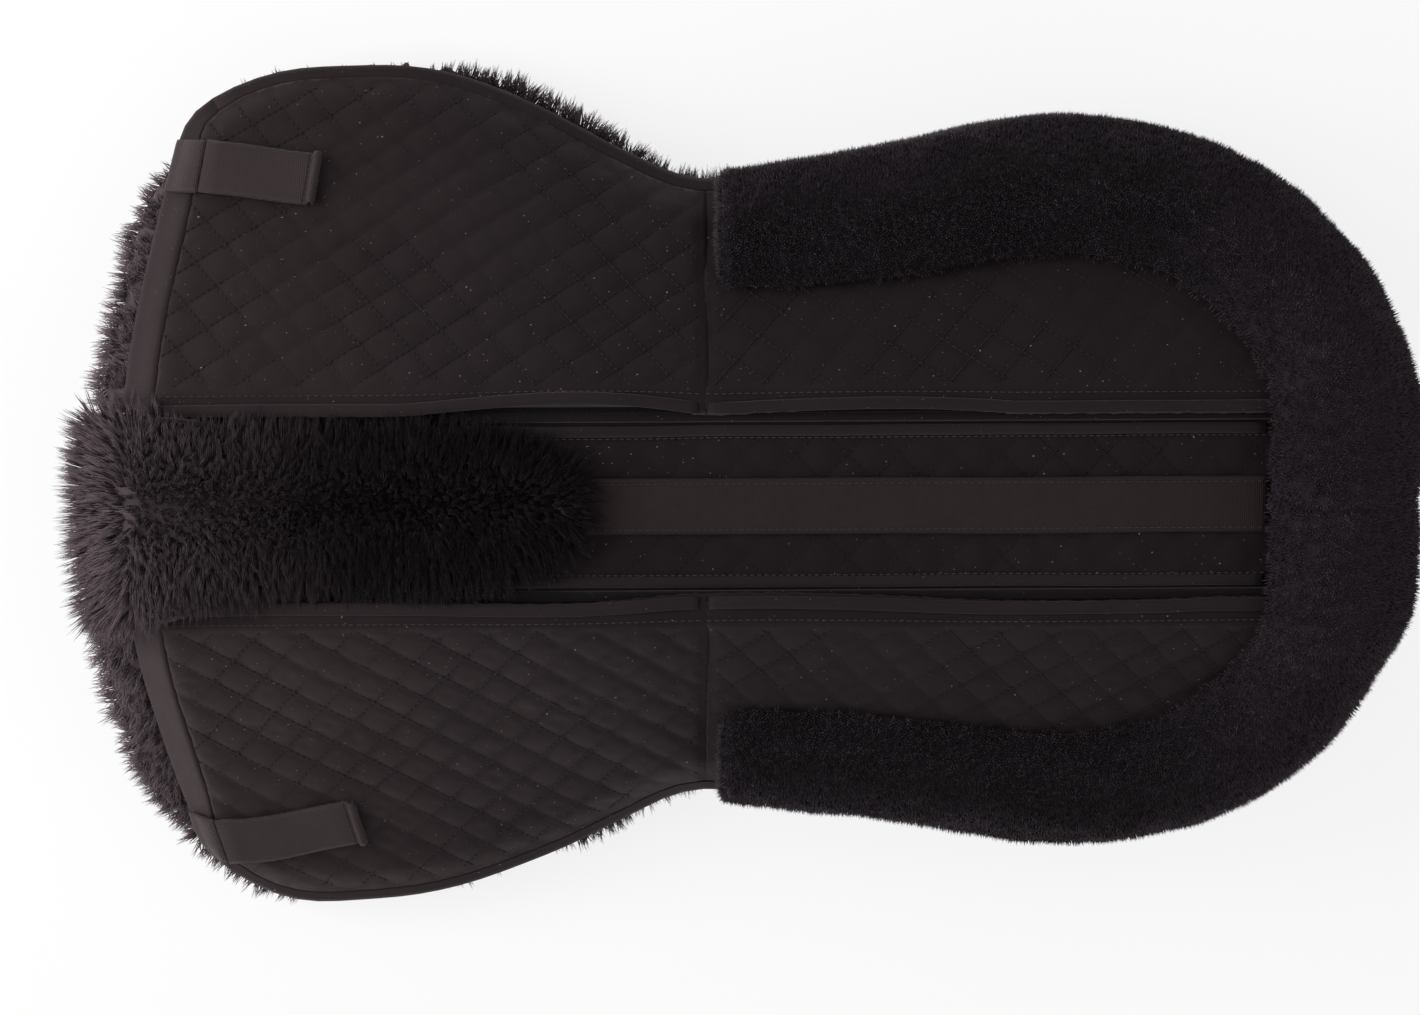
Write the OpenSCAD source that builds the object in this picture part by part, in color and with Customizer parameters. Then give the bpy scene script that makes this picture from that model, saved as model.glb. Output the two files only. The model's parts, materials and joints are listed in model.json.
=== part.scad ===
// Sheepskin half pad for use under a riding saddle, standing as an arch on its edges.
// +X points to the rear, +Y to the horse's right side, +Z up, and the ground is z = 0.
// Each flank is a stack of layers. A layer's height is given as "rise", measured square
// to the flank from the plane of the fold line, and "down" is measured along the slope.

/* [Arch] */
// Height of the spine strip's top above the ground
spine_height = 128; // [120:1:140]
// Distance from the centre line to each fold line
fold_y = 37; // [34:0.5:42]
// Slope of the flanks, degrees
flank_angle = 36; // [32:1:40]
// Distance from the centre line to where a flank starts to splay
splay_y = 135; // [128:1:142]
// Radius of the splay
splay_radius = 191; // [180:1:220]
// Slope left at the foot of the splay, degrees
foot_angle = 14; // [10:1:20]

/* [Layers] */
// Thickness of the sheepskin lining with its pile
wool_t = 28; // [20:1:32]
// Thickness of the cotton liner under the pockets
liner_t = 2; // [1:0.5:3]
// Thickness of the felt padding that frames the pockets
padding_t = 9; // [8:0.5:12]
// Thickness of the quilted cover
cover_t = 5; // [3:0.5:6]
// Thickness of the spine strip
strip_t = 3; // [2:0.5:4]
// Thickness of the wool felt under the spine strip
spine_felt_t = 6; // [4:0.5:8]
// How far down the slope the lining starts, which leaves the spine channel open
wool_start = 16; // [14:1:24]

/* [Outline] */
// How far the lining's wool stands out past the front edge
wool_front = 24; // [10:1:26]
// How far the lining's wool stands out past the flank edges
wool_flank = 6; // [2:1:8]
// Width of the plain band along the front edge
front_band_w = 14; // [8:1:18]
// Width of the binding along the flank edges
flank_binding_w = 4; // [3:0.5:6]
// Where the cross seam at the waist parts the front and rear covers
waist_x = -16; // [-24:1:-8]

/* [Pockets] */
// Front and rear end of the front pocket
front_pocket = [-136, -19];
// Front and rear end of the rear pocket
rear_pocket = [-13, 216];
// Depth of the pockets down the slope
pocket_depth = 114; // [100:1:116]
// Thickness of the removable inserts
insert_t = 6.8; // [4:0.2:6.8]
// Clearance between an insert and the pocket's walls
insert_gap = 3; // [2:0.5:6]
// Width of the smooth bindings along the pocket mouths
mouth_binding_w = 3.6; // [3:0.2:5]
// Width and thickness of the hook and loop tapes in the mouths
mouth_tape_w = 18; // [12:1:25]
mouth_tape_t = 0.8; // [0.6:0.1:1]

/* [Spine] */
// Width of the webbing along the spine
webbing_w = 25; // [20:1:30]
// Front end of the webbing
webbing_x = -66; // [-70:1:-50]
// Height of the long wool over the withers
wither_h = 20; // [12:1:20]

/* [Rear roll] */
// Where the rear roll's arms start
roll_x = -10; // [-12:1:0]
// Height of the roll above the cover at its arms and at its middle
roll_h = [19, 26];
// How far the roll wraps out past the edge
roll_wrap = 6; // [3:0.5:8]

/* [Straps] */
// Distance from the centre line to the middle of each strap's underside
strap_y = 154; // [150:1:158]
// Width and thickness of the strap webbing
strap_w = 28; // [22:1:30]
strap_t = 1.5; // [1:0.1:2]
// Where each strap starts to lift, and its free end
strap_x = [-246, -193];

/* [Hidden] */

cotton = "#1b181b";
plain_cotton = "#211d20";
webbing = "#232022";
wool = "#17161b";
hook_and_loop = "#141214";
felt = "#2a2628";
foam = "#3a383c";

liner_top = liner_t;                  // rise of each face of the stack
padding_top = liner_top + padding_t;
cover_top = padding_top + cover_t;
edge_gap = 0.6;                       // clearance from the fold line and between pieces
band_lip = 1;                         // how far the front band stands above the cover
splay_steps = 6;
foot_run = 24;                        // straight run past the end of the splay
splay_c = [
    splay_y + splay_radius * sin(flank_angle),
    spine_height - (splay_y - fold_y) * tan(flank_angle) + splay_radius * cos(flank_angle)
];
spine_half = fold_y - edge_gap;

// The cotton stack's edge on the right side, from the front of the spine round to its rear
edge_corners = [
    [-273, 37], [-272, 74], [-268, 110], [-262, 146], [-252, 176], [-214, 196], [-174, 200],
    [-136, 194], [-94, 178], [-56, 160], [-18, 144], [28, 148], [75, 156], [120, 165],
    [162, 168], [214, 157], [252, 134], [278, 102], [290, 66], [296, 37]
];
front_corner = 4;                     // the front band ends at this corner
waist_corner = 10;                    // the roll starts past this one
// The roll's inner edge, one point for each corner of the edge from the waist on
roll_corners = [
    [-10, 93], [28, 94], [75, 98], [118, 105], [150, 107], [182, 102], [205, 88],
    [220, 72], [228, 57], [231, 47]
];
edge_steps = 4;

// ---------- curves ----------

function smooth(a, b, c, d, t) = 0.5 * (
    2 * b + (c - a) * t + (2 * a - 5 * b + 4 * c - d) * t * t
    + (3 * b - a - 3 * c + d) * t * t * t
);

function curve(corners) = let (last = len(corners) - 1) concat(
    [for (i = [0:last - 1], k = [0:edge_steps - 1])
        smooth(corners[max(i - 1, 0)], corners[i], corners[i + 1],
               corners[min(i + 2, last)], k / edge_steps)],
    [corners[last]]
);

// Outward direction at point i of a curve; its two ends run square to the spine
function outward(points, i) =
    i == 0 ? [-1, 0]
    : i == len(points) - 1 ? [1, 0]
    : let (run = points[i + 1] - points[i - 1]) [-run.y, run.x] / norm(run);

edge = curve(edge_corners);
front_i = front_corner * edge_steps;
waist_i = waist_corner * edge_steps;

// 0 up to "from", 1 past "to", and a smooth change between
function eased(i, from, to) = let (t = max(0, min(1, (i - from) / (to - from))))
    t * t * (3 - 2 * t);

// The edge let out by one distance at the front, one along the flank and one at the rear
function let_out(front, flank, rear) = [
    for (i = [0:len(edge) - 1])
        edge[i] + outward(edge, i) * (
            front + (flank - front) * eased(i, front_i - 6, front_i + 3)
            + (rear - flank) * eased(i, waist_i - 6, waist_i)
        )
];
cotton_edge = let_out(-front_band_w, -flank_binding_w, -flank_binding_w);

// ---------- the flank's section, as [y, z] ----------

function flank_point(down, rise) = [
    fold_y + down * cos(flank_angle) + rise * sin(flank_angle),
    spine_height - down * sin(flank_angle) + rise * cos(flank_angle)
];

function splay_point(angle, rise) =
    splay_c - (splay_radius - rise) * [sin(angle), cos(angle)];

function section_line(down, rise) = concat(
    [flank_point(down, rise)],
    [for (i = [0:splay_steps])
        splay_point(flank_angle - i * (flank_angle - foot_angle) / splay_steps, rise)],
    [splay_point(foot_angle, rise) + foot_run * [cos(foot_angle), -sin(foot_angle)]]
);

function reversed(points) = [for (i = [len(points) - 1:-1:0]) points[i]];

// Slope at a distance from the centre line, and the height of a layer's face there
function slope_at(y, rise) = let (reach = (splay_c.x - y) / (splay_radius - rise))
    max(foot_angle, min(flank_angle, asin(max(-1, min(1, reach)))));

function height_at(y, rise) = let (slope = slope_at(y, rise))
    slope == flank_angle
        ? spine_height - (y - fold_y) * tan(flank_angle) + rise / cos(flank_angle)
        : let (p = splay_point(slope, rise)) p.y - (y - p.x) * tan(foot_angle);

// ---------- building blocks ----------

module along_x(x0, x1) {
    translate([x0, 0, 0]) rotate([90, 0, 90]) linear_extrude(x1 - x0) children();
}

// One layer of the right flank between two rises, from "down" to past the foot
module layer(down, rise0, rise1, x0 = -400, x1 = 400) {
    along_x(x0, x1)
        polygon(concat(section_line(down, rise1), reversed(section_line(down, rise0))));
}

// Everything inside a plan outline, from the ground up
module inside(points) {
    linear_extrude(2 * spine_height)
        polygon(concat([[points[0].x, 0]], points, [[points[len(points) - 1].x, 0]]));
}

// Places children on the right flank: x along the spine, y down the slope, z the rise
module on_flank() {
    translate([0, fold_y, spine_height]) rotate([-flank_angle, 0, 0]) children();
}

// Places children at a strap's middle line: y across the strap, z above its underside
module on_strap() {
    translate([0, strap_y, height_at(strap_y, strap_rise)]) rotate([-strap_slope, 0, 0])
        children();
}

module block(x, y, z) {
    translate([x[0], y[0], z[0]]) cube([x[1] - x[0], y[1] - y[0], z[1] - z[0]]);
}

// A solid through rings that all have the same number of points
module skin(rings) {
    n = len(rings[0]);
    last = len(rings) - 1;
    polyhedron(
        points = [for (ring = rings) each ring],
        faces = concat(
            [[for (j = [0:n - 1]) j]],
            [for (i = [0:last - 1], j = [0:n - 1]) let (k = (j + 1) % n)
                each [[i * n + j, (i + 1) * n + j, (i + 1) * n + k],
                      [i * n + j, (i + 1) * n + k, i * n + k]]],
            [[for (j = [n - 1:-1:0]) last * n + j]]
        )
    );
}

module on_side(side) {
    if (side > 0) children(); else mirror([0, 1, 0]) children();
}

// ---------- the flank's pieces, right side ----------

module sheepskin() {
    color(wool) intersection() {
        layer(wool_start, -wool_t, 0);
        inside(let_out(wool_front, wool_flank, 0));
    }
}

module pocket_liner() {
    color(plain_cotton) intersection() {
        layer(edge_gap, 0, liner_top);
        inside(cotton_edge);
    }
}

// The space of one pocket, open at its mouth
module pocket_space(pocket) {
    on_flank() block(pocket, [-2, pocket_depth], [liner_top, padding_top]);
}

module padding() {
    color(felt) difference() {
        intersection() {
            layer(edge_gap, liner_top, padding_top);
            inside(cotton_edge);
        }
        pocket_space(front_pocket);
        pocket_space(rear_pocket);
    }
}

// The edge that a mouth binding takes from the cover
module mouth_space(pocket) {
    on_flank() block(pocket, [-2, edge_gap + mouth_binding_w], [padding_top - 1, cover_top + 1]);
}

module cover(x0, x1) {
    color(cotton) difference() {
        intersection() {
            layer(edge_gap, padding_top, cover_top, x0, x1);
            inside(cotton_edge);
        }
        mouth_space(front_pocket);
        mouth_space(rear_pocket);
    }
}

module front_cover() {
    cover(-400, waist_x - edge_gap / 2);
}

module rear_cover() {
    cover(waist_x + edge_gap / 2, 400);
}

// What lies between the cotton stack and its outer edge, standing proud by the lip
module edge_strip(x0, x1, lip) {
    color(plain_cotton) difference() {
        intersection() {
            layer(edge_gap, 0, cover_top + lip, x0, x1);
            inside(edge);
        }
        inside(cotton_edge);
    }
}

module front_edge_band() {
    edge_strip(-400, edge[front_i].x, band_lip);
}

module flank_binding() {
    edge_strip(edge[front_i].x, 400, 0);
}

// Rolled binding along a pocket mouth, with a half-round inner edge
module mouth_binding(pocket) {
    r = cover_t / 2;
    steps = 6;
    color(plain_cotton) on_flank() along_x(pocket[0], pocket[1]) polygon(concat(
        [[edge_gap + mouth_binding_w, padding_top]],
        [for (i = [0:steps]) let (a = 270 - 180 * i / steps)
            [edge_gap + r + r * cos(a), padding_top + r + r * sin(a)]],
        [[edge_gap + mouth_binding_w, cover_top]]
    ));
}

module mouth_tapes(rise) {
    down = edge_gap + mouth_binding_w;
    for (pocket = [front_pocket, rear_pocket])
        color(hook_and_loop) on_flank()
            block([pocket[0] + 2, pocket[1] - 2], [down, down + mouth_tape_w],
                  [rise, rise + mouth_tape_t]);
}

module loop_tapes() {
    mouth_tapes(padding_top - mouth_tape_t);
}

module hook_tapes() {
    mouth_tapes(liner_top);
}

// Foam insert with round corners, lying in its pocket
module insert(pocket) {
    r = 14;
    x = [pocket[0] + insert_gap, pocket[1] - insert_gap];
    y = [7, pocket_depth - insert_gap];
    corners = [[x[1] - r, y[1] - r, 0], [x[0] + r, y[1] - r, 90],
               [x[0] + r, y[0] + r, 180], [x[1] - r, y[0] + r, 270]];
    middle = (liner_top + padding_top) / 2;
    color(foam) on_flank() translate([0, 0, middle - insert_t / 2]) linear_extrude(insert_t)
        polygon([for (c = corners, a = [0:15:90])
            [c.x + r * cos(c.z + a), c.y + r * sin(c.z + a)]]);
}

// ---------- the rear roll ----------

roll_lift = 0.4;                      // clearance between the roll and the cover's facets
roll_base = cover_top + roll_lift;
fold_foot = flank_point(edge_gap, roll_base);  // where the roll's base meets the fold
dome_steps = 8;

// The point of a curve between its first and last at t from 0 to 1
function along(points, t) = let (
    place = t * (len(points) - 1),
    i = min(len(points) - 2, floor(place))
) points[i] + (place - i) * (points[i + 1] - points[i]);

// The cover's edge under the roll, from the arm's square end to the fold
roll_rim = concat(
    [[roll_x, edge[waist_i + 1].y]],
    [for (i = [waist_i + 2:len(edge) - 1]) if (edge[i].y > fold_foot.x + 3) edge[i]],
    [[edge[len(edge) - 1].x - 0.6, fold_foot.x]]
);
roll_inner = curve(roll_corners);
roll_last = len(roll_rim) - 1;

// 0 at the ends of the roll and 1 where its lip reaches down the side of the lining
function lip_depth(t) = t >= 1 || t <= 0 ? 0 : pow(sin(180 * t), 0.6);

// 1 where the lip stands on the ground, beside the rear flank's widest place
function lip_foot(t) = max(0, 1 - pow((t - 0.42) / 0.25, 2));

// One ring of the roll: over the dome from inside to outside, then round the edge's lip
function roll_ring(i) = let (
    t = i / roll_last,
    out = i == 0 ? [0, 1] : outward(roll_rim, i),
    inner = along(roll_inner, t),
    from = i == 0 ? [roll_x, inner.y] : i == roll_last ? [inner.x, fold_foot.x] : inner,
    to = roll_rim[i] + roll_wrap * out,
    lip = roll_rim[i] + edge_gap * out,
    high = roll_h[0] + (roll_h[1] - roll_h[0]) * min(1, 1.6 * t),
    fold_low = flank_point(edge_gap, liner_top),
    low = max(0, height_at(to.y, -wool_t * lip_depth(t)) - 20 * lip_foot(t))
) concat(
    [for (k = [0:dome_steps]) let (
        a = 180 * k / dome_steps,
        foot = from + (to - from) * (1 - cos(a)) / 2,
        slope = slope_at(foot.y, roll_base),
        rise = high * pow(sin(a), 0.8))
        [foot.x, foot.y + rise * sin(slope), height_at(foot.y, roll_base) + rise * cos(slope)]],
    i == roll_last
        ? [[to.x, fold_low.x, fold_low.y], [lip.x, fold_low.x, fold_low.y]]
        : [[to.x, to.y, low], [lip.x, lip.y, low]],
    [[lip.x, lip.y, height_at(lip.y, roll_base)]]
);

module rear_roll() {
    color(wool) skin([for (i = [0:roll_last]) roll_ring(i)]);
}

module rear_roll_center() {
    inner_x = roll_corners[len(roll_corners) - 1].x;
    rim_x = edge[len(edge) - 1].x;
    outer_x = rim_x + roll_wrap;
    base = spine_height + roll_lift;
    half = (outer_x - inner_x) / 2;
    top = cover_top + roll_h[1] - 6;
    profile = concat(
        [[inner_x, base]],
        [for (k = [0:dome_steps]) let (a = 180 - 180 * k / dome_steps)
            [inner_x + half + half * cos(a), base + top - roll_h[1] + roll_h[1] * pow(sin(a), 0.8)]],
        [[outer_x, spine_height - 10], [rim_x + edge_gap, spine_height - 10],
         [rim_x + edge_gap, base]]
    );
    color(wool) translate([0, spine_half, 0]) rotate([90, 0, 0])
        linear_extrude(2 * spine_half) polygon(profile);
}

// ---------- the spine ----------

spine_x = [edge_corners[0].x, edge_corners[len(edge_corners) - 1].x];

module spine_strip() {
    color(cotton)
        block(spine_x, [-spine_half, spine_half], [spine_height - strip_t, spine_height]);
}

module spine_felt() {
    half = spine_half - 1;
    color(felt)
        block(spine_x, [-half, half], [spine_height - strip_t - spine_felt_t, spine_height - strip_t]);
}

module spine_webbing() {
    color(webbing) block([webbing_x, roll_corners[len(roll_corners) - 1].x - edge_gap],
                         [-webbing_w / 2, webbing_w / 2], [spine_height, spine_height + 1.2]);
}

module spine_binding() {
    wide = 4;
    color(plain_cotton) block([-98, roll_corners[len(roll_corners) - 1].x - edge_gap],
                              [spine_half - wide, spine_half], [spine_height, spine_height + 1]);
}

// Long wool over the withers: wide where it falls over the front edge, then a dome that
// narrows to a round end on the spine strip. Beside the front pockets the dome's sides
// slope as a parabola, so that an insert comes out over them.
nose_x = -302;
nose_l = 24.5;
wither_x = [-276.5, -68];
wither_taper = 62;
wither_rings = 20;

function wither_half(x) = let (past = max(0, (x - wither_x[1] + wither_taper) / wither_taper))
    (spine_half - 0.4) * sqrt(max(0.01, 1 - past * past));

function wither_ring(x, half, high, low, steepness) = concat(
    [[x, -half, low]],
    [for (k = [0:10]) let (a = 180 * k / 10)
        [x, -half * cos(a), spine_height + 0.5 + high * pow(sin(a), steepness)]],
    [[x, half, low]]
);

module wither_wool() {
    nose = [for (k = [0:4]) let (a = 90 * k / 4)
        wither_ring(nose_x + nose_l * (1 - cos(a)), 33 + 11 * sin(a),
                    4 + (wither_h - 1) * sin(a), spine_height - 10, 1.1)];
    dome = [for (k = [0:wither_rings]) let (
        x = wither_x[0] + (wither_x[1] - wither_x[0]) * k / wither_rings,
        half = wither_half(x),
        beside = max(0, min(1, (x - front_pocket[0] + 40) / 30)))
        wither_ring(x, half, wither_h * half / spine_half, spine_height, 1.1 + 0.9 * beside)];
    color(wool) skin(concat(nose, dome));
}

// ---------- the straps ----------

// The strap's stretch of plan, a little wider than the webbing's slope width
module strap_plan(x0, x1, wide) {
    half = wide * cos(strap_slope) / 2;
    block([x0, x1], [strap_y - half, strap_y + half], [0, 2 * spine_height]);
}

// Webbing sewn round the front edge, which follows the edge's slant
module strap_anchor() {
    band_top = cover_top + band_lip;
    color(webbing) intersection() {
        union() {
            intersection() {
                layer(edge_gap, band_top + 0.2, band_top + 0.2 + strap_t);
                inside(let_out(0.4 + strap_t, 0.4 + strap_t, 0));
            }
            difference() {
                intersection() {
                    layer(edge_gap, 0.4, band_top + 0.2 + strap_t);
                    inside(let_out(0.4 + strap_t, 0.4 + strap_t, 0));
                }
                inside(let_out(0.4, 0.4, 0));
            }
        }
        strap_plan(-400, strap_x[0], strap_w);
    }
}

module strap_loop_patch() {
    color(hook_and_loop) intersection() {
        layer(edge_gap, cover_top, cover_top + 1);
        strap_plan(strap_x[0] + 8, strap_x[1] - 4, strap_w - 4);
    }
}

strap_rise = cover_top + 2.9;         // underside of the free strap
strap_slope = slope_at(strap_y, strap_rise);

module strap() {
    fold_h = 3.6;
    fold_l = 6;
    color(webbing) on_strap() union() {
        block([strap_x[0] + 0.7, strap_x[1]], [-strap_w / 2, strap_w / 2], [0, strap_t]);
        block([strap_x[1] - fold_l, strap_x[1]], [-strap_w / 2, strap_w / 2], [0, fold_h]);
    }
}

module strap_hook_patch() {
    color(hook_and_loop) on_strap()
        block([strap_x[0] + 12, strap_x[1] - 6], [-strap_w / 2 + 2, strap_w / 2 - 2], [-1, 0]);
}

spine_strip();
spine_felt();
spine_webbing();
spine_binding();  // right_spine_binding
on_side(-1) spine_binding();  // left_spine_binding
wither_wool();
rear_roll_center();

for (side = [1, -1]) {
    name = side > 0 ? "right" : "left";
    on_side(side) sheepskin();
    on_side(side) pocket_liner();
    on_side(side) padding();
    on_side(side) front_cover();
    on_side(side) rear_cover();
    on_side(side) front_edge_band();
    on_side(side) flank_binding();
    on_side(side) mouth_binding(front_pocket);
    on_side(side) mouth_binding(rear_pocket);
    on_side(side) loop_tapes();
    on_side(side) hook_tapes();
    on_side(side) rear_roll();
    on_side(side) strap_anchor();
    on_side(side) strap_loop_patch();
    on_side(side) strap();
    on_side(side) strap_hook_patch();
    on_side(side) insert(front_pocket);
    on_side(side) insert(rear_pocket);
}
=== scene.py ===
"""The looks of a black sheepskin half pad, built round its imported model.

Each flank's stack is described as in the model: "down" is the distance down the slope from the
fold line, "rise" is the height above the plane of the fold line, and "side" is 1 on the right.
"""

import json
import math

import bpy
import numpy as np
from mathutils import Matrix, Vector, noise
from mathutils.geometry import delaunay_2d_cdt

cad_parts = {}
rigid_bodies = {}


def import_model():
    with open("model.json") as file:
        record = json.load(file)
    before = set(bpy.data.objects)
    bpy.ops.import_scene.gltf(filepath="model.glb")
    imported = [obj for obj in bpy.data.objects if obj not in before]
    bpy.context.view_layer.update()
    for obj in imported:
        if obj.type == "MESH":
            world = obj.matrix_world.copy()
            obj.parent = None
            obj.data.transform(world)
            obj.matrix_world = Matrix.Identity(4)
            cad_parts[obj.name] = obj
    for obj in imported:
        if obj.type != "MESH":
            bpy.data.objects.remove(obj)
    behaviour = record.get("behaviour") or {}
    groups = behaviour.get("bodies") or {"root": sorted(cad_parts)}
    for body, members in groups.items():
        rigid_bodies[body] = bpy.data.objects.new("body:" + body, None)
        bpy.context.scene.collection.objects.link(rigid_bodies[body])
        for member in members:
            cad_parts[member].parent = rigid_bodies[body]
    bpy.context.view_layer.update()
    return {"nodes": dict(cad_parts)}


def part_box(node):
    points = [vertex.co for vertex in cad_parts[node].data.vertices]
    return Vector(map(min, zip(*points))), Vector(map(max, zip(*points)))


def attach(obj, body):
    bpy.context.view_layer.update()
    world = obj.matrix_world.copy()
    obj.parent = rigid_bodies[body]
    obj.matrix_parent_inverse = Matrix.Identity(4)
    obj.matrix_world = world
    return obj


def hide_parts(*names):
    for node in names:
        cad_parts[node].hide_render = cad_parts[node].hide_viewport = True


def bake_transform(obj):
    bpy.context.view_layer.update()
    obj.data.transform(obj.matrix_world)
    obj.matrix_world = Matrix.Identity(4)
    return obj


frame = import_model()
MM = 0.001
SIDES = {"right": 1, "left": -1}
scene = bpy.context.scene

# ---------- the pad's section and outline, as in the model ----------

strip_low, strip_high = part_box("spine_strip")
EDGE_GAP = 0.6 * MM
SPINE_HALF = strip_high.y
FOLD_Y = SPINE_HALF + EDGE_GAP
SPINE_Z = strip_high.z
FLANK_ANGLE = math.radians(36)
SPLAY_Y = 135 * MM
SPLAY_RADIUS = 191 * MM
FOOT_ANGLE = math.radians(14)
SPLAY_C = (SPLAY_Y + SPLAY_RADIUS * math.sin(FLANK_ANGLE),
           SPINE_Z - (SPLAY_Y - FOLD_Y) * math.tan(FLANK_ANGLE)
           + SPLAY_RADIUS * math.cos(FLANK_ANGLE))
PLANE_RUN = (SPLAY_Y - FOLD_Y) / math.cos(FLANK_ANGLE)
SPLAY_RUN = SPLAY_RADIUS * (FLANK_ANGLE - FOOT_ANGLE)
COVER_TOP = 16 * MM
WAIST_X = -16 * MM
ROLL_X = -10 * MM
PITCH = 16.3 * MM                     # distance between quilting lines
PUFF = 0.8 * MM                       # how far a quilted diamond stands above its seams
REAR_PUFF = 0.6                       # how full the rear covers are beside the front ones

CURVE_STEPS = 4                       # points between two corners of an outline
EDGE_CORNERS = [
    (-273, 37), (-272, 74), (-268, 110), (-262, 146), (-252, 176), (-214, 196), (-174, 200),
    (-136, 194), (-94, 178), (-56, 160), (-18, 144), (28, 148), (75, 156), (120, 165),
    (162, 168), (214, 157), (252, 134), (278, 102), (290, 66), (296, 37)]
ROLL_CORNERS = [(-10, 93), (28, 94), (75, 98), (118, 105), (150, 107), (182, 102), (205, 88),
                (220, 72), (228, 57), (231, 47)]
FRONT_I, WAIST_I = 16, 40             # places along the edge: front corner and waist
FRONT_TURN, REAR_TURN = math.radians(-7), math.radians(7)     # how the quilting slants
# how each side lies off the pattern: (place along the pad, for how long, how far outwards)
OFF_PATTERN = {1: [(-186 * MM, 40 * MM, -4.0 * MM), (-52 * MM, 30 * MM, -2.5 * MM)],
               -1: [(-224 * MM, 32 * MM, 5.5 * MM), (-38 * MM, 26 * MM, -3.5 * MM),
                    (100 * MM, 90 * MM, -4.2 * MM), (275 * MM, 55 * MM, -5 * MM)]}
REAR_END = {1: (78 * MM, 2 * MM), -1: (92 * MM, -5 * MM)}     # (place across, shift in x)


def slope_at(down):
    """Slope of the flank, in radians, at a distance down it."""
    return np.clip(FLANK_ANGLE - (down - PLANE_RUN) / SPLAY_RADIUS, FOOT_ANGLE, FLANK_ANGLE)


def points_at(x, y, z):
    """Points with these coordinates, each a number or a list of them."""
    return np.stack(np.broadcast_arrays(*(np.asarray(v, float) for v in (x, y, z))), -1)


def flank(x, down, rise, side=1):
    """Points on the flank's layers."""
    x, down, rise = np.broadcast_arrays(*(np.asarray(v, float) for v in (x, down, rise)))
    slope = slope_at(down)
    straight = np.minimum(down, PLANE_RUN)
    past = np.maximum(down - PLANE_RUN - SPLAY_RUN, 0)
    radius = SPLAY_RADIUS - rise
    y = np.where(down <= PLANE_RUN,
                 FOLD_Y + straight * math.cos(FLANK_ANGLE) + rise * math.sin(FLANK_ANGLE),
                 SPLAY_C[0] - radius * np.sin(slope) + past * math.cos(FOOT_ANGLE))
    z = np.where(down <= PLANE_RUN,
                 SPINE_Z - straight * math.sin(FLANK_ANGLE) + rise * math.cos(FLANK_ANGLE),
                 SPLAY_C[1] - radius * np.cos(slope) - past * math.sin(FOOT_ANGLE))
    return points_at(x, side * y, z)


def down_at(y, rise):
    """Distance down the flank of a point at y on the layer at a rise."""
    y = np.asarray(y, float)
    plane = (y - FOLD_Y - rise * math.sin(FLANK_ANGLE)) / math.cos(FLANK_ANGLE)
    radius = SPLAY_RADIUS - rise
    reach = np.clip((SPLAY_C[0] - y) / radius, -1, 1)
    angle = np.arcsin(reach)
    arc = PLANE_RUN + SPLAY_RADIUS * (FLANK_ANGLE - angle)
    foot_y = SPLAY_C[0] - radius * math.sin(FOOT_ANGLE)
    far = PLANE_RUN + SPLAY_RUN + (y - foot_y) / math.cos(FOOT_ANGLE)
    return np.where(plane <= PLANE_RUN, plane, np.where(angle >= FOOT_ANGLE, arc, far))


def on_plan(x, y, rise, side=1):
    """Points straight above places on the plan, on the layer at a rise."""
    points = flank(x, down_at(y, rise), rise, side)
    points[..., 0] = x
    return points


def curve(corners):
    """A smooth line through corners given in millimetres."""
    c = np.array(corners, float) * MM
    out = []
    for i in range(len(c) - 1):
        p0, p1, p2, p3 = (c[min(max(k, 0), len(c) - 1)] for k in range(i - 1, i + 3))
        for t in np.arange(CURVE_STEPS) / CURVE_STEPS:
            out.append(0.5 * (2 * p1 + (p2 - p0) * t + (2 * p0 - 5 * p1 + 4 * p2 - p3) * t * t
                              + (3 * p1 - p0 - 3 * p2 + p3) * t ** 3))
    return np.array(out + [c[-1]])


def outward(points):
    """Directions square to a line, away from the pad's middle."""
    run = np.gradient(points, axis=0)
    out = np.stack([-run[:, 1], run[:, 0]], -1)
    return out / np.linalg.norm(out, axis=1)[:, None]


def ease(t):
    """0 for t below 0, 1 above 1, and a smooth rise between."""
    t = np.clip(t, 0, 1)
    return t * t * (3 - 2 * t)


def bell(x, middle, width, power=2):
    """1 at the middle, falling off to 0 at about the width."""
    return np.exp(-((x - middle) / width) ** power)


edge = curve(EDGE_CORNERS)
edge_out = outward(edge)
edge_out[0], edge_out[-1] = (-1, 0), (1, 0)


def let_out(front, flank_w, rear):
    """The pad's outline, let out by one width at the front, one along the flank and one behind."""
    i = np.arange(len(edge))
    amount = (front + (flank_w - front) * ease((i - FRONT_I + 6) / 9)
              + (rear - flank_w) * ease((i - WAIST_I + 6) / 6))
    return edge + amount[:, None] * edge_out


BAND_W, BINDING_W = 14 * MM, 4 * MM
cotton_edge = let_out(-BAND_W, -BINDING_W, -BINDING_W)


def edge_distance(points, line):
    """Shortest distance from each plan point to a line."""
    a, b = line[:-1], line[1:]
    ab = b - a
    best = np.full(len(points), 1e9)
    for p, d in zip(a, ab):
        t = np.clip(((points - p) @ d) / (d @ d), 0, 1)
        best = np.minimum(best, np.linalg.norm(points - p - t[:, None] * d, axis=1))
    return best


def soft_noise(points, scale, seed):
    """Smooth noise from -1 to 1 with features of about the scale's size."""
    shift = Vector((seed * 7.3, seed * 3.1, seed * 5.7))
    return np.array([noise.noise(Vector(p) / scale + shift) for p in points])


# ---------- meshes ----------

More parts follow.
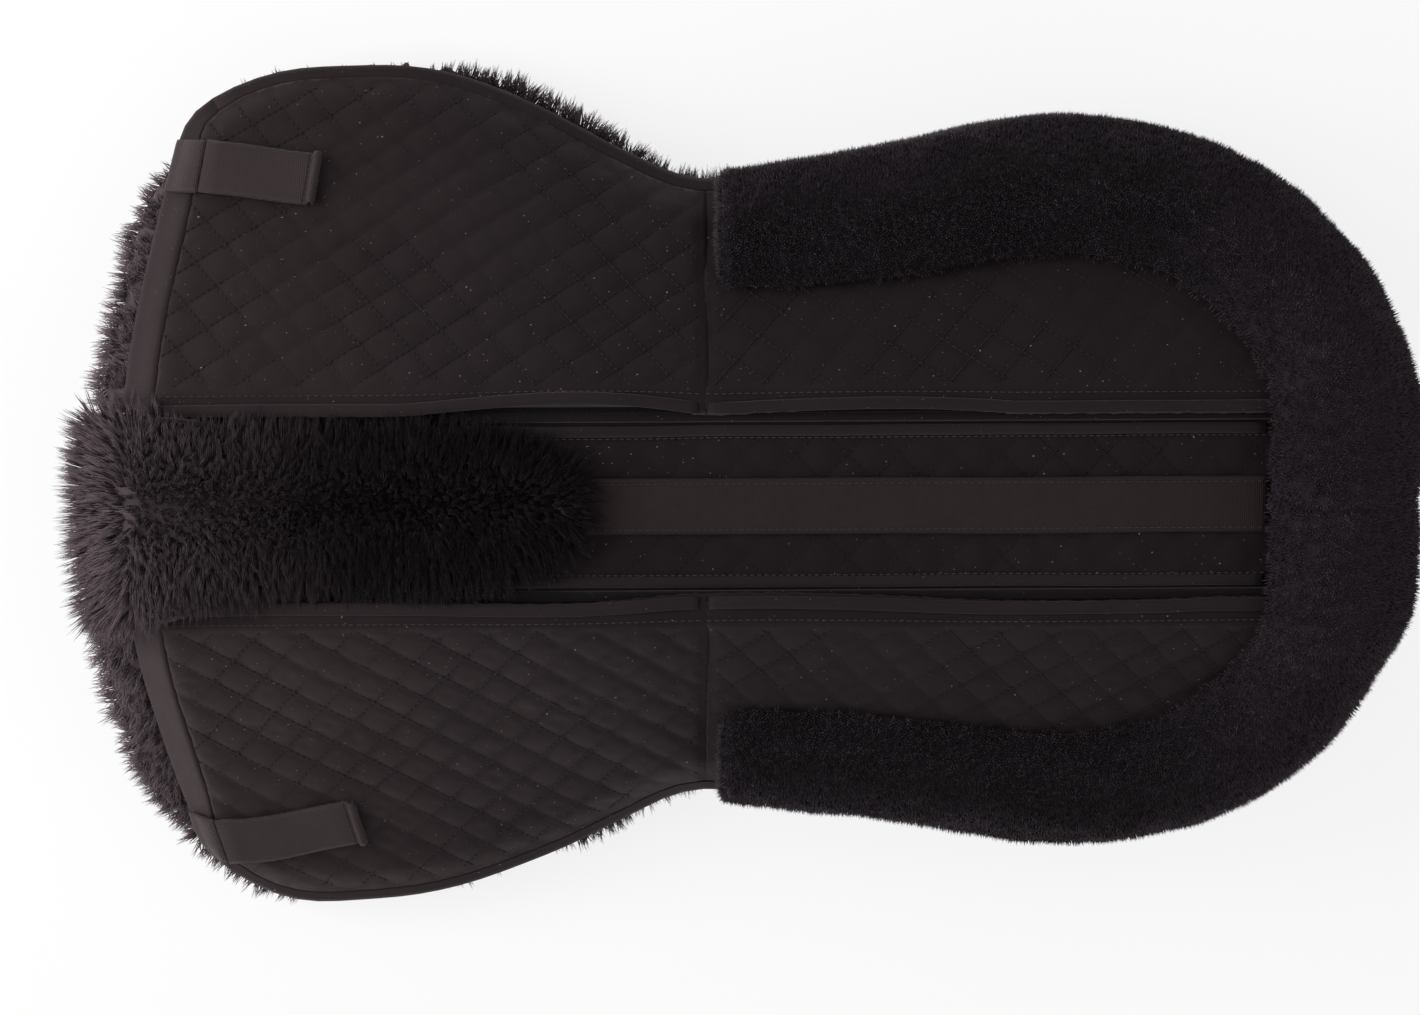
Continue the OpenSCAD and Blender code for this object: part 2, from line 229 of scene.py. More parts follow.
def add_mesh(name, points, faces):
    mesh = bpy.data.meshes.new(name)
    mesh.from_pydata([tuple(p) for p in points], [], [tuple(f) for f in faces])
    mesh.validate()
    mesh.update()
    mesh.shade_smooth()
    return add_object(name, mesh)


def add_object(name, data):
    made = bpy.data.objects.new(name, data)
    scene.collection.objects.link(made)
    return made


def vectors(piece, field):
    """A field of the piece's points, "co" or "normal"."""
    found = np.zeros(len(piece.data.vertices) * 3)
    piece.data.vertices.foreach_get(field, found)
    return found.reshape(-1, 3)


def coordinates(piece):
    return vectors(piece, "co")


def normals(piece):
    return vectors(piece, "normal")


def set_coordinates(piece, co):
    piece.data.vertices.foreach_set("co", np.asarray(co, float).ravel())
    piece.data.update()


def mark(piece, name, values):
    """Stores a number or a vector for each of the piece's points, for rules and finishes."""
    values = np.asarray(values, np.float32)
    kind, field = ("FLOAT", "value") if values.ndim == 1 else ("FLOAT_VECTOR", "vector")
    piece.data.attributes.new(name, kind, "POINT").data.foreach_set(field, values.ravel())


def outward_faces(piece):
    """Turns every face outwards."""
    bpy.context.view_layer.objects.active = piece
    piece.select_set(True)
    bpy.ops.object.mode_set(mode="EDIT")
    bpy.ops.mesh.select_all(action="SELECT")
    bpy.ops.mesh.normals_make_consistent(inside=False)
    bpy.ops.object.mode_set(mode="OBJECT")
    piece.select_set(False)


def evaluated(piece, keep_layers):
    """The piece's mesh with its modifiers applied."""
    graph = bpy.context.evaluated_depsgraph_get()
    return bpy.data.meshes.new_from_object(
        piece.evaluated_get(graph), preserve_all_data_layers=keep_layers, depsgraph=graph)


def finished(piece, **modifier):
    """Applies the piece's modifiers, after one more if its kind and settings are given."""
    if modifier:
        added = piece.modifiers.new("last", modifier.pop("kind"))
        for key, value in modifier.items():
            setattr(added, key, value)
    mesh = evaluated(piece, True)
    piece.modifiers.clear()
    piece.data = mesh
    return piece


def relaxed(piece, iterations):
    return finished(piece, kind="SMOOTH", factor=0.5, iterations=iterations)


def subdivided(piece, levels):
    return finished(piece, kind="SUBSURF", levels=levels, render_levels=levels)


def skin(name, rings):
    """A closed surface through rings of points, each ring a closed loop, with its ends filled."""
    rings = np.asarray(rings, float)
    count, n = rings.shape[:2]
    faces = [(i * n + j, (i + 1) * n + j, (i + 1) * n + (j + 1) % n, i * n + (j + 1) % n)
             for i in range(count - 1) for j in range(n)]
    points = rings.reshape(-1, 3)
    for i in (0, count - 1):
        points = np.vstack([points, rings[i].mean(0)])
        faces += [(i * n + j, i * n + (j + 1) % n, len(points) - 1) for j in range(n)]
    piece = add_mesh(name, points, faces)
    outward_faces(piece)
    return piece


def settle(piece):
    """Shifts a side's piece along its flank: cloth and wool lie a little off the pattern."""
    side = SIDES.get(piece.name.split("_")[0])
    if side is None or piece.name in frame["nodes"]:
        return
    co = coordinates(piece)
    y, z = side * co[:, 1] - SPLAY_C[0], co[:, 2] - SPLAY_C[1]
    shift = sum(how * bell(co[:, 0], at, wide) for at, wide, how in OFF_PATTERN[side])
    angle = ease((side * co[:, 1] - 60 * MM) / (90 * MM)) * shift / SPLAY_RADIUS
    co[:, 1] = side * (SPLAY_C[0] + y * np.cos(angle) - z * np.sin(angle))
    co[:, 2] = SPLAY_C[1] + z * np.cos(angle) + y * np.sin(angle)
    at, how = REAR_END[side]
    co[:, 0] += how * (bell(side * co[:, 1], at, 38 * MM)
                       * ease((co[:, 0] - 190 * MM) / (80 * MM)))
    co[:, 2] = np.maximum(co[:, 2], 0.1 * MM)        # nothing goes below the ground
    set_coordinates(piece, co)


def grid_sheet(name, rows, thickness):
    """Cloth through rows of points, given a thickness towards its back."""
    rows = np.asarray(rows, float)
    count, n = rows.shape[:2]
    faces = [(i * n + j, i * n + j + 1, (i + 1) * n + j + 1, (i + 1) * n + j)
             for i in range(count - 1) for j in range(n - 1)]
    return thickened(add_mesh(name, rows.reshape(-1, 3), faces), thickness)


def face_up(piece):
    if normals(piece)[:, 2].mean() < 0:
        piece.data.flip_normals()


def thickened(piece, thickness):
    """Gives an open sheet a thickness below its upper face."""
    face_up(piece)
    return finished(piece, kind="SOLIDIFY", thickness=thickness, offset=-1)


def inside_polygon(points, polygon):
    """Which plan points lie inside a polygon."""
    x, y = points[:, 0], points[:, 1]
    inside = np.zeros(len(points), bool)
    for (x0, y0), (x1, y1) in zip(polygon, np.roll(polygon, -1, axis=0)):
        crosses = (y0 > y) != (y1 > y)
        with np.errstate(divide="ignore", invalid="ignore"):
            at = (x1 - x0) * (y - y0) / (y1 - y0) + x0
        inside ^= crosses & (x < at)
    return inside


def resampled(line, step):
    """A line with its points about a step apart."""
    line = np.asarray(line, float)
    length = np.concatenate([[0], np.cumsum(np.linalg.norm(np.diff(line, axis=0), axis=1))])
    count = max(2, int(round(length[-1] / step)) + 1)
    at = np.linspace(0, length[-1], count)
    return np.stack([np.interp(at, length, line[:, k]) for k in range(line.shape[1])], -1)


def turned(flat, angle):
    """Flat points turned about the origin."""
    c, s = math.cos(angle), math.sin(angle)
    return flat @ np.array([[c, s], [-s, c]])


def quilt_phase(flat, turn):
    """How many quilting lines lie between the origin and each flat point, both ways."""
    flat = turned(flat, -turn)
    a = (flat[:, 0] + flat[:, 1]) / (math.sqrt(2) * PITCH)
    b = (flat[:, 1] - flat[:, 0]) / (math.sqrt(2) * PITCH)
    return a, b


def flat_mesh(boundary, step, turn=0.0):
    """A triangle mesh on a lattice that the quilting lines run along, inside a flat boundary."""
    loop = np.vstack([resampled(np.vstack([p, q]), step)[:-1]
                      for p, q in zip(boundary, np.roll(boundary, -1, axis=0))])
    low, high = loop.min(0), loop.max(0)
    reach = int(1.2 * (high - low).sum() / step) + 2
    k = np.arange(-reach, reach)
    a, b = np.meshgrid(k * step, k * step)
    lattice = turned(np.stack([(a - b).ravel(), (a + b).ravel()], -1) / math.sqrt(2), turn)
    keep = ((lattice > low) & (lattice < high)).all(1)
    lattice = lattice[keep]
    lattice = lattice[inside_polygon(lattice, loop)]
    lattice = lattice[edge_distance(lattice, np.vstack([loop, loop[:1]])) > 0.55 * step]
    points = np.vstack([loop, lattice])
    around = list(range(len(loop)))
    result = delaunay_2d_cdt([Vector(p) for p in points], [], [around], 1, 1e-6)
    return np.array([tuple(p) for p in result[0]]), [tuple(f) for f in result[2]]


# ---------- nodes ----------

class Value:
    """A node's output, which takes part in arithmetic."""

    def __init__(self, nodes, socket):
        self.nodes, self.socket = nodes, socket

    def beside(self, name):
        """Another output of the same node."""
        return Value(self.nodes, self.socket.node.outputs[name])

    def math(self, operation, first, second):
        return self.nodes.node("ShaderNodeMath", {"operation": operation}, {0: first, 1: second})

    def __add__(self, other):
        return self.math("ADD", self, other)

    def __sub__(self, other):
        return self.math("SUBTRACT", self, other)

    def __rsub__(self, other):
        return self.math("SUBTRACT", other, self)

    def __mul__(self, other):
        return self.math("MULTIPLY", self, other)

    def __pow__(self, other):
        return self.math("POWER", self, other)

    __radd__, __rmul__ = __add__, __mul__


class Nodes:
    """A node tree that grows by one method."""

    def __init__(self, tree):
        self.tree = tree

    def node(self, kind, settings=None, inputs=None, out=0):
        """Adds a node and returns one of its outputs; inputs are keyed by name or number."""
        made = self.tree.nodes.new(kind)
        for key, value in (settings or {}).items():
            setattr(made, key, value)
        for key, value in (inputs or {}).items():
            self.feed(made.inputs[key], value)
        return Value(self, made.outputs[out])

    def feed(self, socket, value):
        if isinstance(value, Value):
            self.tree.links.new(value.socket, socket)
        else:
            socket.default_value = value


class Rule(Nodes):
    """A Geometry Nodes tree with named inputs."""

    def __init__(self, name, inputs):
        super().__init__(bpy.data.node_groups.new(name, "GeometryNodeTree"))
        face = self.tree.interface
        self.ids = {}
        for label, kind in {"Geometry": "Geometry", **inputs}.items():
            socket = face.new_socket(label, in_out="INPUT", socket_type="NodeSocket" + kind)
            self.ids[label] = socket.identifier
        face.new_socket("Geometry", in_out="OUTPUT", socket_type="NodeSocketGeometry")
        self.start = self.tree.nodes.new("NodeGroupInput")
        self.end = self.tree.nodes.new("NodeGroupOutput")

    def given(self, label):
        return Value(self, self.start.outputs[label])

    def vector(self, operation, first, second):
        """Vector arithmetic; SCALE takes a number second, the others a vector."""
        return self.node("ShaderNodeVectorMath", {"operation": operation},
                         {0: first, "Scale" if operation == "SCALE" else 1: second})

    def attribute(self, name, kind):
        return self.node("GeometryNodeInputNamedAttribute", {"data_type": kind}, {"Name": name})

    def random(self, low, high, seed):
        """A random number for each point, or a random vector if low is one."""
        if isinstance(low, tuple):
            return self.node("FunctionNodeRandomValue", {"data_type": "FLOAT_VECTOR"},
                             {0: low, 1: high, "Seed": seed})
        return self.node("FunctionNodeRandomValue", {"data_type": "FLOAT"},
                         {2: low, 3: high, "Seed": seed}, out=1)

    def copies(self, points, shape, rotation, scale=(1, 1, 1)):
        """The shape of a given object, once for each point."""
        shown = self.node("GeometryNodeObjectInfo", None, {"Object": self.given(shape)},
                          out="Geometry")
        return self.node("GeometryNodeInstanceOnPoints", None, {
            "Points": points, "Instance": shown, "Rotation": rotation, "Scale": scale})

    def close(self, geometry, material):
        real = self.node("GeometryNodeRealizeInstances", None, {"Geometry": geometry})
        self.feed(self.end.inputs[0], self.node(
            "GeometryNodeSetMaterial", None, {"Geometry": real, "Material": self.given(material)}))

    def grown(self, name, base, values):
        """The tree's result on a base, as a plain mesh piece. The base goes."""
        modifier = base.modifiers.new("rule", "NODES")
        modifier.node_group = self.tree
        for label, value in values.items():
            modifier[self.ids[label]] = value
        piece = add_object(name, evaluated(base, False))
        bpy.data.objects.remove(base)
        return piece


def wool_rule():
    """Locks of wool on a fleece: thick where "grow" is high, combed along "comb"."""
    r = Rule("wool_locks", {"Lock": "Object", "Density": "Float", "Width": "Float",
                            "Length": "Float", "Lean": "Float", "Spread": "Float",
                            "Clump": "Float", "Seed": "Int", "Finish": "Material"})
    grow, comb = r.attribute("grow", "FLOAT"), r.attribute("comb", "FLOAT_VECTOR")
    roots = r.node("GeometryNodeDistributePointsOnFaces", None, {
        "Mesh": r.given("Geometry"), "Density": grow * r.given("Density"),
        "Seed": r.given("Seed")}, out="Points")
    swirl = r.node("ShaderNodeTexNoise", None, {
        "Vector": r.node("GeometryNodeInputPosition"), "Scale": 55.0, "Detail": 1.0}, out="Color")
    swirl = r.vector("SUBTRACT", swirl, (0.5, 0.5, 0.5))
    stray = r.random((-1.0, -1.0, -1.0), (1.0, 1.0, 1.0), r.given("Seed"))
    way = roots.beside("Normal")
    for part, share in ((comb, "Lean"), (swirl, "Clump"), (stray, "Spread")):
        way = r.vector("ADD", way, r.vector("SCALE", part, r.given(share)))
    aim = r.node("FunctionNodeAlignRotationToVector", {"axis": "Z"}, {"Vector": way})
    about = r.node("FunctionNodeAxisAngleToRotation", None,
                   {"Angle": r.random(0.0, 2 * math.pi, 7)})
    rotation = r.node("FunctionNodeRotateRotation", {"rotation_space": "LOCAL"},
                      {"Rotation": aim, "Rotate By": about})
    size = r.node("ShaderNodeCombineXYZ", None, {
        "X": r.given("Width"), "Y": r.given("Width"),
        "Z": r.random(0.65, 1.2, 11) * r.given("Length") * grow ** 0.35})
    locks = r.copies(roots, "Lock", rotation, size)
    both = r.node("GeometryNodeJoinGeometry", None, {0: r.given("Geometry")})
    r.feed(both.socket.node.inputs[0], locks)
    r.close(both, "Finish")
    return r


def stitch_rule():
    """Stitches one after another along the base's lines."""
    r = Rule("stitches", {"Stitch": "Object", "Spacing": "Float", "Thread": "Material"})
    line = r.node("GeometryNodeMeshToCurve", None, {"Mesh": r.given("Geometry")})
    even = r.node("GeometryNodeResampleCurve", {"mode": "LENGTH"},
                  {"Curve": line, "Length": r.given("Spacing")})
    aim = r.node("FunctionNodeAlignRotationToVector", {"axis": "X"},
                 {"Vector": r.node("GeometryNodeInputTangent")})
    r.close(r.copies(even, "Stitch", aim), "Thread")
    return r


def hidden_shape(name, points, faces):
    """A shape that rules repeat. It isn't part of the scene."""
    mesh = bpy.data.meshes.new(name)
    mesh.from_pydata(points, [], faces)
    mesh.update()
    mesh.shade_smooth()
    return bpy.data.objects.new(name, mesh)


def three_round(middle, radius, turn, z):
    """Three points round a fibre's middle."""
    angles = [turn + 2 * math.pi * j / 3 for j in range(3)]
    return [(middle[0] + radius * math.cos(a), middle[1] + radius * math.sin(a), z) for a in angles]


def lock_shape(name, strands, thick, gather, flick):
    """A lock of wool one unit tall: tapering strands that lean together and curl at their tips."""
    points, faces = [], []
    for k in range(strands):
        turn = 2.4 * k + 0.3
        away = 0.25 + 0.75 * (k + 0.5) / strands
        foot = np.array((away * math.cos(turn), away * math.sin(turn)))
        drift = np.array((math.cos(turn + 1.9), math.sin(turn + 1.9))) * flick
        first = len(points)
        for z, r in ((0, 1.0), (0.45, 0.85)):
            middle = foot * (1 - gather * z) + drift * z * z + (0.5 * flick * z, 0)
            points += three_round(middle, r * thick, turn, z)
        tip = foot * (1 - gather) + drift + (0.9 * flick, 0)
        points.append((tip[0], tip[1], 1 - 0.3 * (k % 3) / 3))
        for j in range(3):
            n = (j + 1) % 3
            faces += [(first + j, first + n, first + 3 + n),
                      (first + j, first + 3 + n, first + 3 + j),
                      (first + 3 + j, first + 3 + n, first + 6)]
        faces.append((first + 2, first + 1, first))
    return hidden_shape(name, points, faces)


def nap_shape(strands, thick):
    """A few short straight fibres of dense wool."""
    points, faces = [], []
    for k in range(strands):
        turn = 2.1 * k
        foot = (0.8 * math.cos(turn), 0.8 * math.sin(turn))
        first = len(points)
        points += three_round(foot, thick, turn, 0)
        points.append((foot[0] * 1.7, foot[1] * 1.7, 1 - 0.12 * k))
        faces += [(first, first + 1, first + 3), (first + 1, first + 2, first + 3),
                  (first + 2, first, first + 3), (first + 2, first + 1, first)]
    return hidden_shape("nap", points, faces)


def stitch_shape(length, thick):
    """One stitch lying along X, sunk at its ends."""
    points = []
    for x, r, z in ((-0.5, 0.45, -0.5), (-0.25, 1.0, 0.1), (0.25, 1.0, 0.1), (0.5, 0.45, -0.5)):
        for j in range(4):
            a = math.pi / 4 + math.pi / 2 * j
            points.append((x * length, r * thick * math.cos(a), thick * (z + r * math.sin(a))))
    faces = [(4 * i + j, 4 * i + (j + 1) % 4, 4 * i + 4 + (j + 1) % 4, 4 * i + 4 + j)
             for i in range(3) for j in range(4)]
    return hidden_shape("stitch", points, faces + [(3, 2, 1, 0), (12, 13, 14, 15)])


WOOL = wool_rule()
STITCHES = stitch_rule()
TUFT = lock_shape("tuft", 5, 0.14, 0.5, 0.55)
PLUSH = lock_shape("plush", 4, 0.26, -0.1, 0.5)
NAP = nap_shape(3, 0.42)
STITCH = stitch_shape(2.3 * MM, 0.28 * MM)

# ---------- finishes ----------


class Finish(Nodes):
    """A material made of nodes, with the constants set on the shader itself."""

    def __init__(self, name, **constants):
        self.material = bpy.data.materials.new(name)
        self.material.use_nodes = True
        super().__init__(self.material.node_tree)
        self.shader = self.tree.nodes["Principled BSDF"]
        for key, value in constants.items():
            self.shader.inputs[key.replace("_", " ")].default_value = value
        self.place = self.node("ShaderNodeTexCoord", out="Object")

    def noise(self, scale, detail=3.0):
        return self.node("ShaderNodeTexNoise", None,
                         {"Vector": self.place, "Scale": scale, "Detail": detail})

    def spots(self, scale, low, high):
        """Noise cut off so that it is 0 below one level and 1 above another."""
        cut = self.node("ShaderNodeValToRGB", None, {0: self.noise(scale, 1.0)})
        first, last = cut.socket.node.color_ramp.elements
        first.position, last.position = low, high
        return cut

    def wave(self, scale, direction, distortion):
        return self.node("ShaderNodeTexWave", {"bands_direction": direction},
                         {"Vector": self.place, "Scale": scale, "Distortion": distortion})

    def marked(self, name):
        """What the piece's points are marked with."""
        return self.node("ShaderNodeAttribute", {"attribute_name": name}, out="Fac")

    def mix(self, share, first, second):
        return self.node("ShaderNodeMix", {"data_type": "RGBA"},
                         {0: share, 6: first, 7: second}, out=2)

    def painted_light_share(self, start, end):
        """The share of painted light at a place: 0 where x is at start or on the far side of it
        from end, 1 from end on.
        """
        x = self.node("ShaderNodeSeparateXYZ", None, {0: self.place})
        return self.node("ShaderNodeClamp", None, {0: (x - start) * (1 / (end - start))})

    def done(self, colour, roughness, height, distance, strength=0.6):
        """Feeds the shader its colour, roughness and bump, and returns the material."""
        bump = self.node("ShaderNodeBump", None, {
            "Height": height, "Distance": distance, "Strength": strength}, out="Normal")
        for name, value in (("Base Color", colour), ("Roughness", roughness), ("Normal", bump)):
            self.feed(self.shader.inputs[name], value)
        return self.material


def rgb(r, g, b):
    return (r, g, b, 1.0)


def cloth_finish(name, base, light, thread_scale, lint, painted_light=None):
    """Twill cotton: fine slanted ribs, worn lighter in patches, with specks of lint; painted shade
    along its quilting seams, and painted light towards one end where a pale end is given.
    """
    f = Finish(name, Sheen_Weight=0.12, Sheen_Roughness=0.45,
               Sheen_Tint=rgb(0.9, 0.7, 0.72), Specular_IOR_Level=0.16)
    ribs = f.wave(thread_scale, "DIAGONAL", 1.5)
    worn = f.noise(28, 4.0)
    # painted shade: the cloth is painted darker along its quilting seams, where shade falls in the
    # valleys
    seam_shade = f.marked("sewn")
    shade = f.mix((worn * 0.7 + ribs * 0.3) * (1 - seam_shade * 0.3), base, light)
    # painted light: the cloth is painted paler towards one end of the pad
    if painted_light:
        start, end, pale = painted_light
        shade = f.mix(f.painted_light_share(start, end) * (0.4 + worn * 0.5), shade, pale)
    # painted shade: a little more darkening along the seams
    shade = f.mix(seam_shade * 0.07, shade, rgb(0.003, 0.002, 0.0025))
    if lint:
        shade = f.mix(f.spots(800, 0.77, 0.795) * lint, shade, rgb(0.32, 0.29, 0.28))
    return f.done(shade, 0.72 + f.noise(60) * 0.25, ribs * 0.5 + f.noise(900, 2.0) * 0.5,
                  0.25 * MM)


def wool_finish(name, base, light, sheen, painted_light):
    """Wool: uneven in shade, with painted light towards one end of the pad, and painted sheen where
    it is marked as rim.
    """
    f = Finish(name, Sheen_Weight=sheen, Sheen_Roughness=0.35,
               Sheen_Tint=rgb(0.8, 0.68, 0.76), Specular_IOR_Level=0.08)
    shade = f.mix(f.noise(22, 5.0) ** 1.6, base, light)
    start, end, pale = painted_light
    # painted light: the wool is painted paler towards one end of the pad
    shade = f.mix(f.painted_light_share(start, end) ** 1.3 * (0.6 + f.noise(30, 2.0) * 0.7), shade, pale)
    # painted sheen: paler where the piece is marked as rim
    shade = f.mix(f.marked("rim"), shade, rgb(0.0360, 0.0260, 0.0330))
    return f.done(shade, 0.75 + f.noise(180, 2.0) * 0.25, f.noise(1100, 2.0), 0.5 * MM)


def webbing_finish(name, base, light):
    """Woven webbing: fine ribs across, a herringbone along."""
    f = Finish(name, Sheen_Weight=0.1, Sheen_Roughness=0.4, Sheen_Tint=rgb(0.9, 0.72, 0.74),
               Specular_IOR_Level=0.2)
    across, along = f.wave(340, "X", 0.3), f.wave(420, "Y", 0.3)
    shade = f.mix(f.noise(35) * 0.7 + across * 0.3, base, light)
    return f.done(shade, 0.6 + f.noise(200) * 0.2, across * 0.7 + along * 0.5, 0.22 * MM)


def fuzzy_finish():
    """Hook and loop tape: a dark, uneven nap."""
    f = Finish("hook_and_loop", Sheen_Weight=0.08, Sheen_Roughness=0.3,
               Sheen_Tint=rgb(0.8, 0.65, 0.7), Specular_IOR_Level=0.08)
    shade = f.mix(f.noise(700), rgb(0.0045, 0.0035, 0.0040), rgb(0.0180, 0.0140, 0.0150))
    return f.done(shade, 0.9 - f.noise(300) * 0.2, f.noise(1500, 2.0), 0.8 * MM, 0.9)


def felt_finish():
    """Pressed wool: uneven in shade, with a short nap."""
    f = Finish("wool_felt", Sheen_Weight=0.3, Sheen_Roughness=0.5)
    shade = f.mix(f.noise(320, 4.0), rgb(0.014, 0.013, 0.014), rgb(0.040, 0.037, 0.040))
    return f.done(shade, 0.85 + f.noise(50) * 0.1, f.noise(800), 0.4 * MM)


def foam_finish():
    """Closed-cell foam: fine cells and a dull skin."""
    f = Finish("insert_foam", Specular_IOR_Level=0.35)
    cells = f.node("ShaderNodeTexVoronoi", {"feature": "F1"}, {"Vector": f.place, "Scale": 900.0})
    shade = f.mix(f.noise(40), rgb(0.040, 0.039, 0.042), rgb(0.066, 0.064, 0.069))
    return f.done(shade, 0.62 + f.noise(120) * 0.2, cells, 0.2 * MM)


# painted light: the cotton, long wool and fringe wool below are painted paler towards the front of
# the pad, and the short wool towards its rear
COTTON = cloth_finish(
    "quilted_cotton", rgb(0.0062, 0.0035, 0.0044), rgb(0.0112, 0.0069, 0.0085), 900, 0.8,
    painted_light=(-0.06, -0.240, rgb(0.0216, 0.0138, 0.0148)))
PLAIN = cloth_finish(
    "plain_cotton", rgb(0.0097, 0.0063, 0.0074), rgb(0.0175, 0.0120, 0.0134), 1100, 0.5,
    painted_light=(-0.05, -0.250, rgb(0.0264, 0.0178, 0.0194)))
# painted shade: a darker copy of the plain cotton, for cloth seen in the pocket mouths and the fold
# gaps, where shade falls
SHADED_COTTON = cloth_finish(
    "pocket_cotton", rgb(0.0045, 0.0032, 0.0038), rgb(0.0085, 0.0062, 0.0070), 1100, 0.5)
THREAD = cloth_finish(
    "thread", rgb(0.0200, 0.0150, 0.0160), rgb(0.0600, 0.0480, 0.0500), 1500, 0)
QUILT_THREAD = cloth_finish(
    "quilting_thread", rgb(0.0080, 0.0050, 0.0058), rgb(0.0150, 0.0100, 0.0115), 1500, 0)
LONG_WOOL = wool_finish(
    "long_wool", rgb(0.0080, 0.0058, 0.0075), rgb(0.0150, 0.0108, 0.0138), 0.16,
    painted_light=(-0.165, -0.285, rgb(0.1300, 0.0980, 0.1110)))
# painted light: the lining's fringe wool is painted several times paler than the long wool,
# standing in for the light that catches the fringe edge-on
LIT_FRINGE_WOOL = wool_finish(
    "fringe_wool", rgb(0.0420, 0.0290, 0.0365), rgb(0.1010, 0.0710, 0.0860), 0.35,
    painted_light=(-0.200, -0.290, rgb(0.1400, 0.1060, 0.1140)))
SHORT_WOOL = wool_finish(
    "short_wool", rgb(0.0060, 0.0044, 0.0060), rgb(0.0178, 0.0130, 0.0168), 0.25,
    painted_light=(0.170, 0.285, rgb(0.0310, 0.0225, 0.0285)))
WEBBING = webbing_finish("webbing", rgb(0.0190, 0.0122, 0.0130), rgb(0.0380, 0.0255, 0.0265))
TAPE = webbing_finish("spine_tape", rgb(0.0105, 0.0057, 0.0061), rgb(0.0212, 0.0122, 0.0128))
SLOTS = {"quilted_cotton": COTTON, "plain_cotton": PLAIN, "long_wool": LONG_WOOL,
         "short_wool": SHORT_WOOL, "webbing": WEBBING, "hook_and_loop": fuzzy_finish(),
         "wool_felt": felt_finish(), "insert_foam": foam_finish()}


def dress(piece, slot, material=None):
    """Settles a piece and gives it its finish: the material given, or else its slot's."""
    settle(piece)
    piece.data.materials.clear()
    piece.data.materials.append(material or SLOTS[slot])


def stand_in(piece, slot, body, *nodes, material=None):
    """Dresses a piece, puts it in the place of its CAD nodes and lets it ride a body."""
    dress(piece, slot, material)
    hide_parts(*nodes)
    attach(piece, body)


# ---------- covers ----------

LIP_V = 9 * MM                        # how wide a strip beside the mouth turns down to it
EDGE_RISE = 8 * MM                    # rise of the cover's face at its sewn outer edge
EDGE_FALL = 20 * MM                   # how wide a strip falls to that rise
COVERS_MEET = 0.8 * MM                # how far each cover's end is cut past the waist seam
SEAM_SHADE_WIDTH = 2.1 * MM                  # how wide the painted shade along the quilting seams reaches
QUILT_STEP = 2.5 * MM                 # distance between points of a quilting line
PRESSURE, PRESSED_FRAMES = 2.2, 14    # how hard and how long the covers are blown up
# where each side's mouths gape: (start, end, how far) from front to rear
PARTED = {1: [(-150 * MM, -19 * MM, 1.0), (-12 * MM, 120 * MM, 0.42)],
          -1: [(-140 * MM, -30 * MM, 0.28), (60 * MM, 210 * MM, 0.2)]}


def mouth_open(x, side):
    """How far the pocket mouth gapes: 1 where its lip is drawn right back."""
    x = np.asarray(x, float)
    gape = np.zeros_like(x)
    for start, end, most in PARTED[side]:
        t = np.clip((x - start) / (end - start), 0, 1) ** 1.25
        gape += most * np.sin(math.pi * t) ** 0.9
    return gape


def mouth_overlap(x, side):
    """How far a mouth's lip slides over the spine strip: most at the left side's waist."""
    t = np.clip((np.asarray(x, float) + 110 * MM) / (230 * MM), 0, 1)
    return (side < 0) * np.sin(math.pi * t) ** 2


def cover_place(x, v, side):
    """(down, rise) of the cover's face at a distance v from its inner edge."""
    gape, over = mouth_open(x, side), mouth_overlap(x, side)
    lip_down = (0.3 + 4.6 * gape - 5.0 * over) * MM
    lip_rise = (5.0 + 6.5 * gape + 0.6 * over) * MM
    t = np.clip(v / LIP_V, 0, 1)
    down = np.where(v < LIP_V, lip_down + (LIP_V - lip_down) * t, v)
    rise = lip_rise + (COVER_TOP - lip_rise) * np.sin(t * math.pi / 2) ** 0.9
    return down, rise


def cover_fall(x, y):
    """How far the cover's face has come down by its sewn outer edge."""
    away = edge_distance(np.stack([x, y], -1), edge)
    return (COVER_TOP - EDGE_RISE) * (1 - ease(away / EDGE_FALL)) ** 1.3


def cover_point(x, v, drop, side):
    """The cover's face in place, lowered towards its sewn edge and by a drop."""
    down, rise = cover_place(x, v, side)
    y = flank(x, down, rise)[..., 1]
    rise = rise - cover_fall(x, y) - drop
    kept = ease((v - LIP_V) / (8 * MM))
    return flank(x, down + kept * (down_at(y, rise) - down), rise, side)


def cover_boundary(front):
    """The cover's flat outline as (x, v). The two covers' ends meet, once they are relaxed."""
    line = np.stack([cotton_edge[:, 0], down_at(cotton_edge[:, 1], COVER_TOP)], -1)
    waist = line[WAIST_I - 8:WAIST_I + 8]
    line = line[line[:, 1] > 4 * MM]
    end = WAIST_X + (COVERS_MEET if front else -COVERS_MEET)
    corner = [end, np.interp(end, waist[:, 0], waist[:, 1])]
    if front:
        part = line[line[:, 0] < WAIST_X - 2 * MM]
        return np.vstack([[part[0, 0], 0], part, corner, [end, 0]])
    part = line[line[:, 0] > WAIST_X + 2 * MM]
    return np.vstack([[end, 0], corner, part, [part[-1, 0], 0]])


def quilted(flat, turn, seed):
    """Rise of the quilted face above its sewn-down level, from 0 to 1, and how sewn it is."""
    a, b = quilt_phase(flat, turn)
    waver = soft_noise(np.c_[flat, np.zeros(len(flat))], 40 * MM, seed) * 0.03
    a, b = a + waver, b - waver
    across = np.abs(np.sin(math.pi * a)) * np.abs(np.sin(math.pi * b))
    seam = np.minimum(np.abs(a - np.round(a)), np.abs(b - np.round(b))) * PITCH
    return 1 - (1 - across) ** 1.8, seam


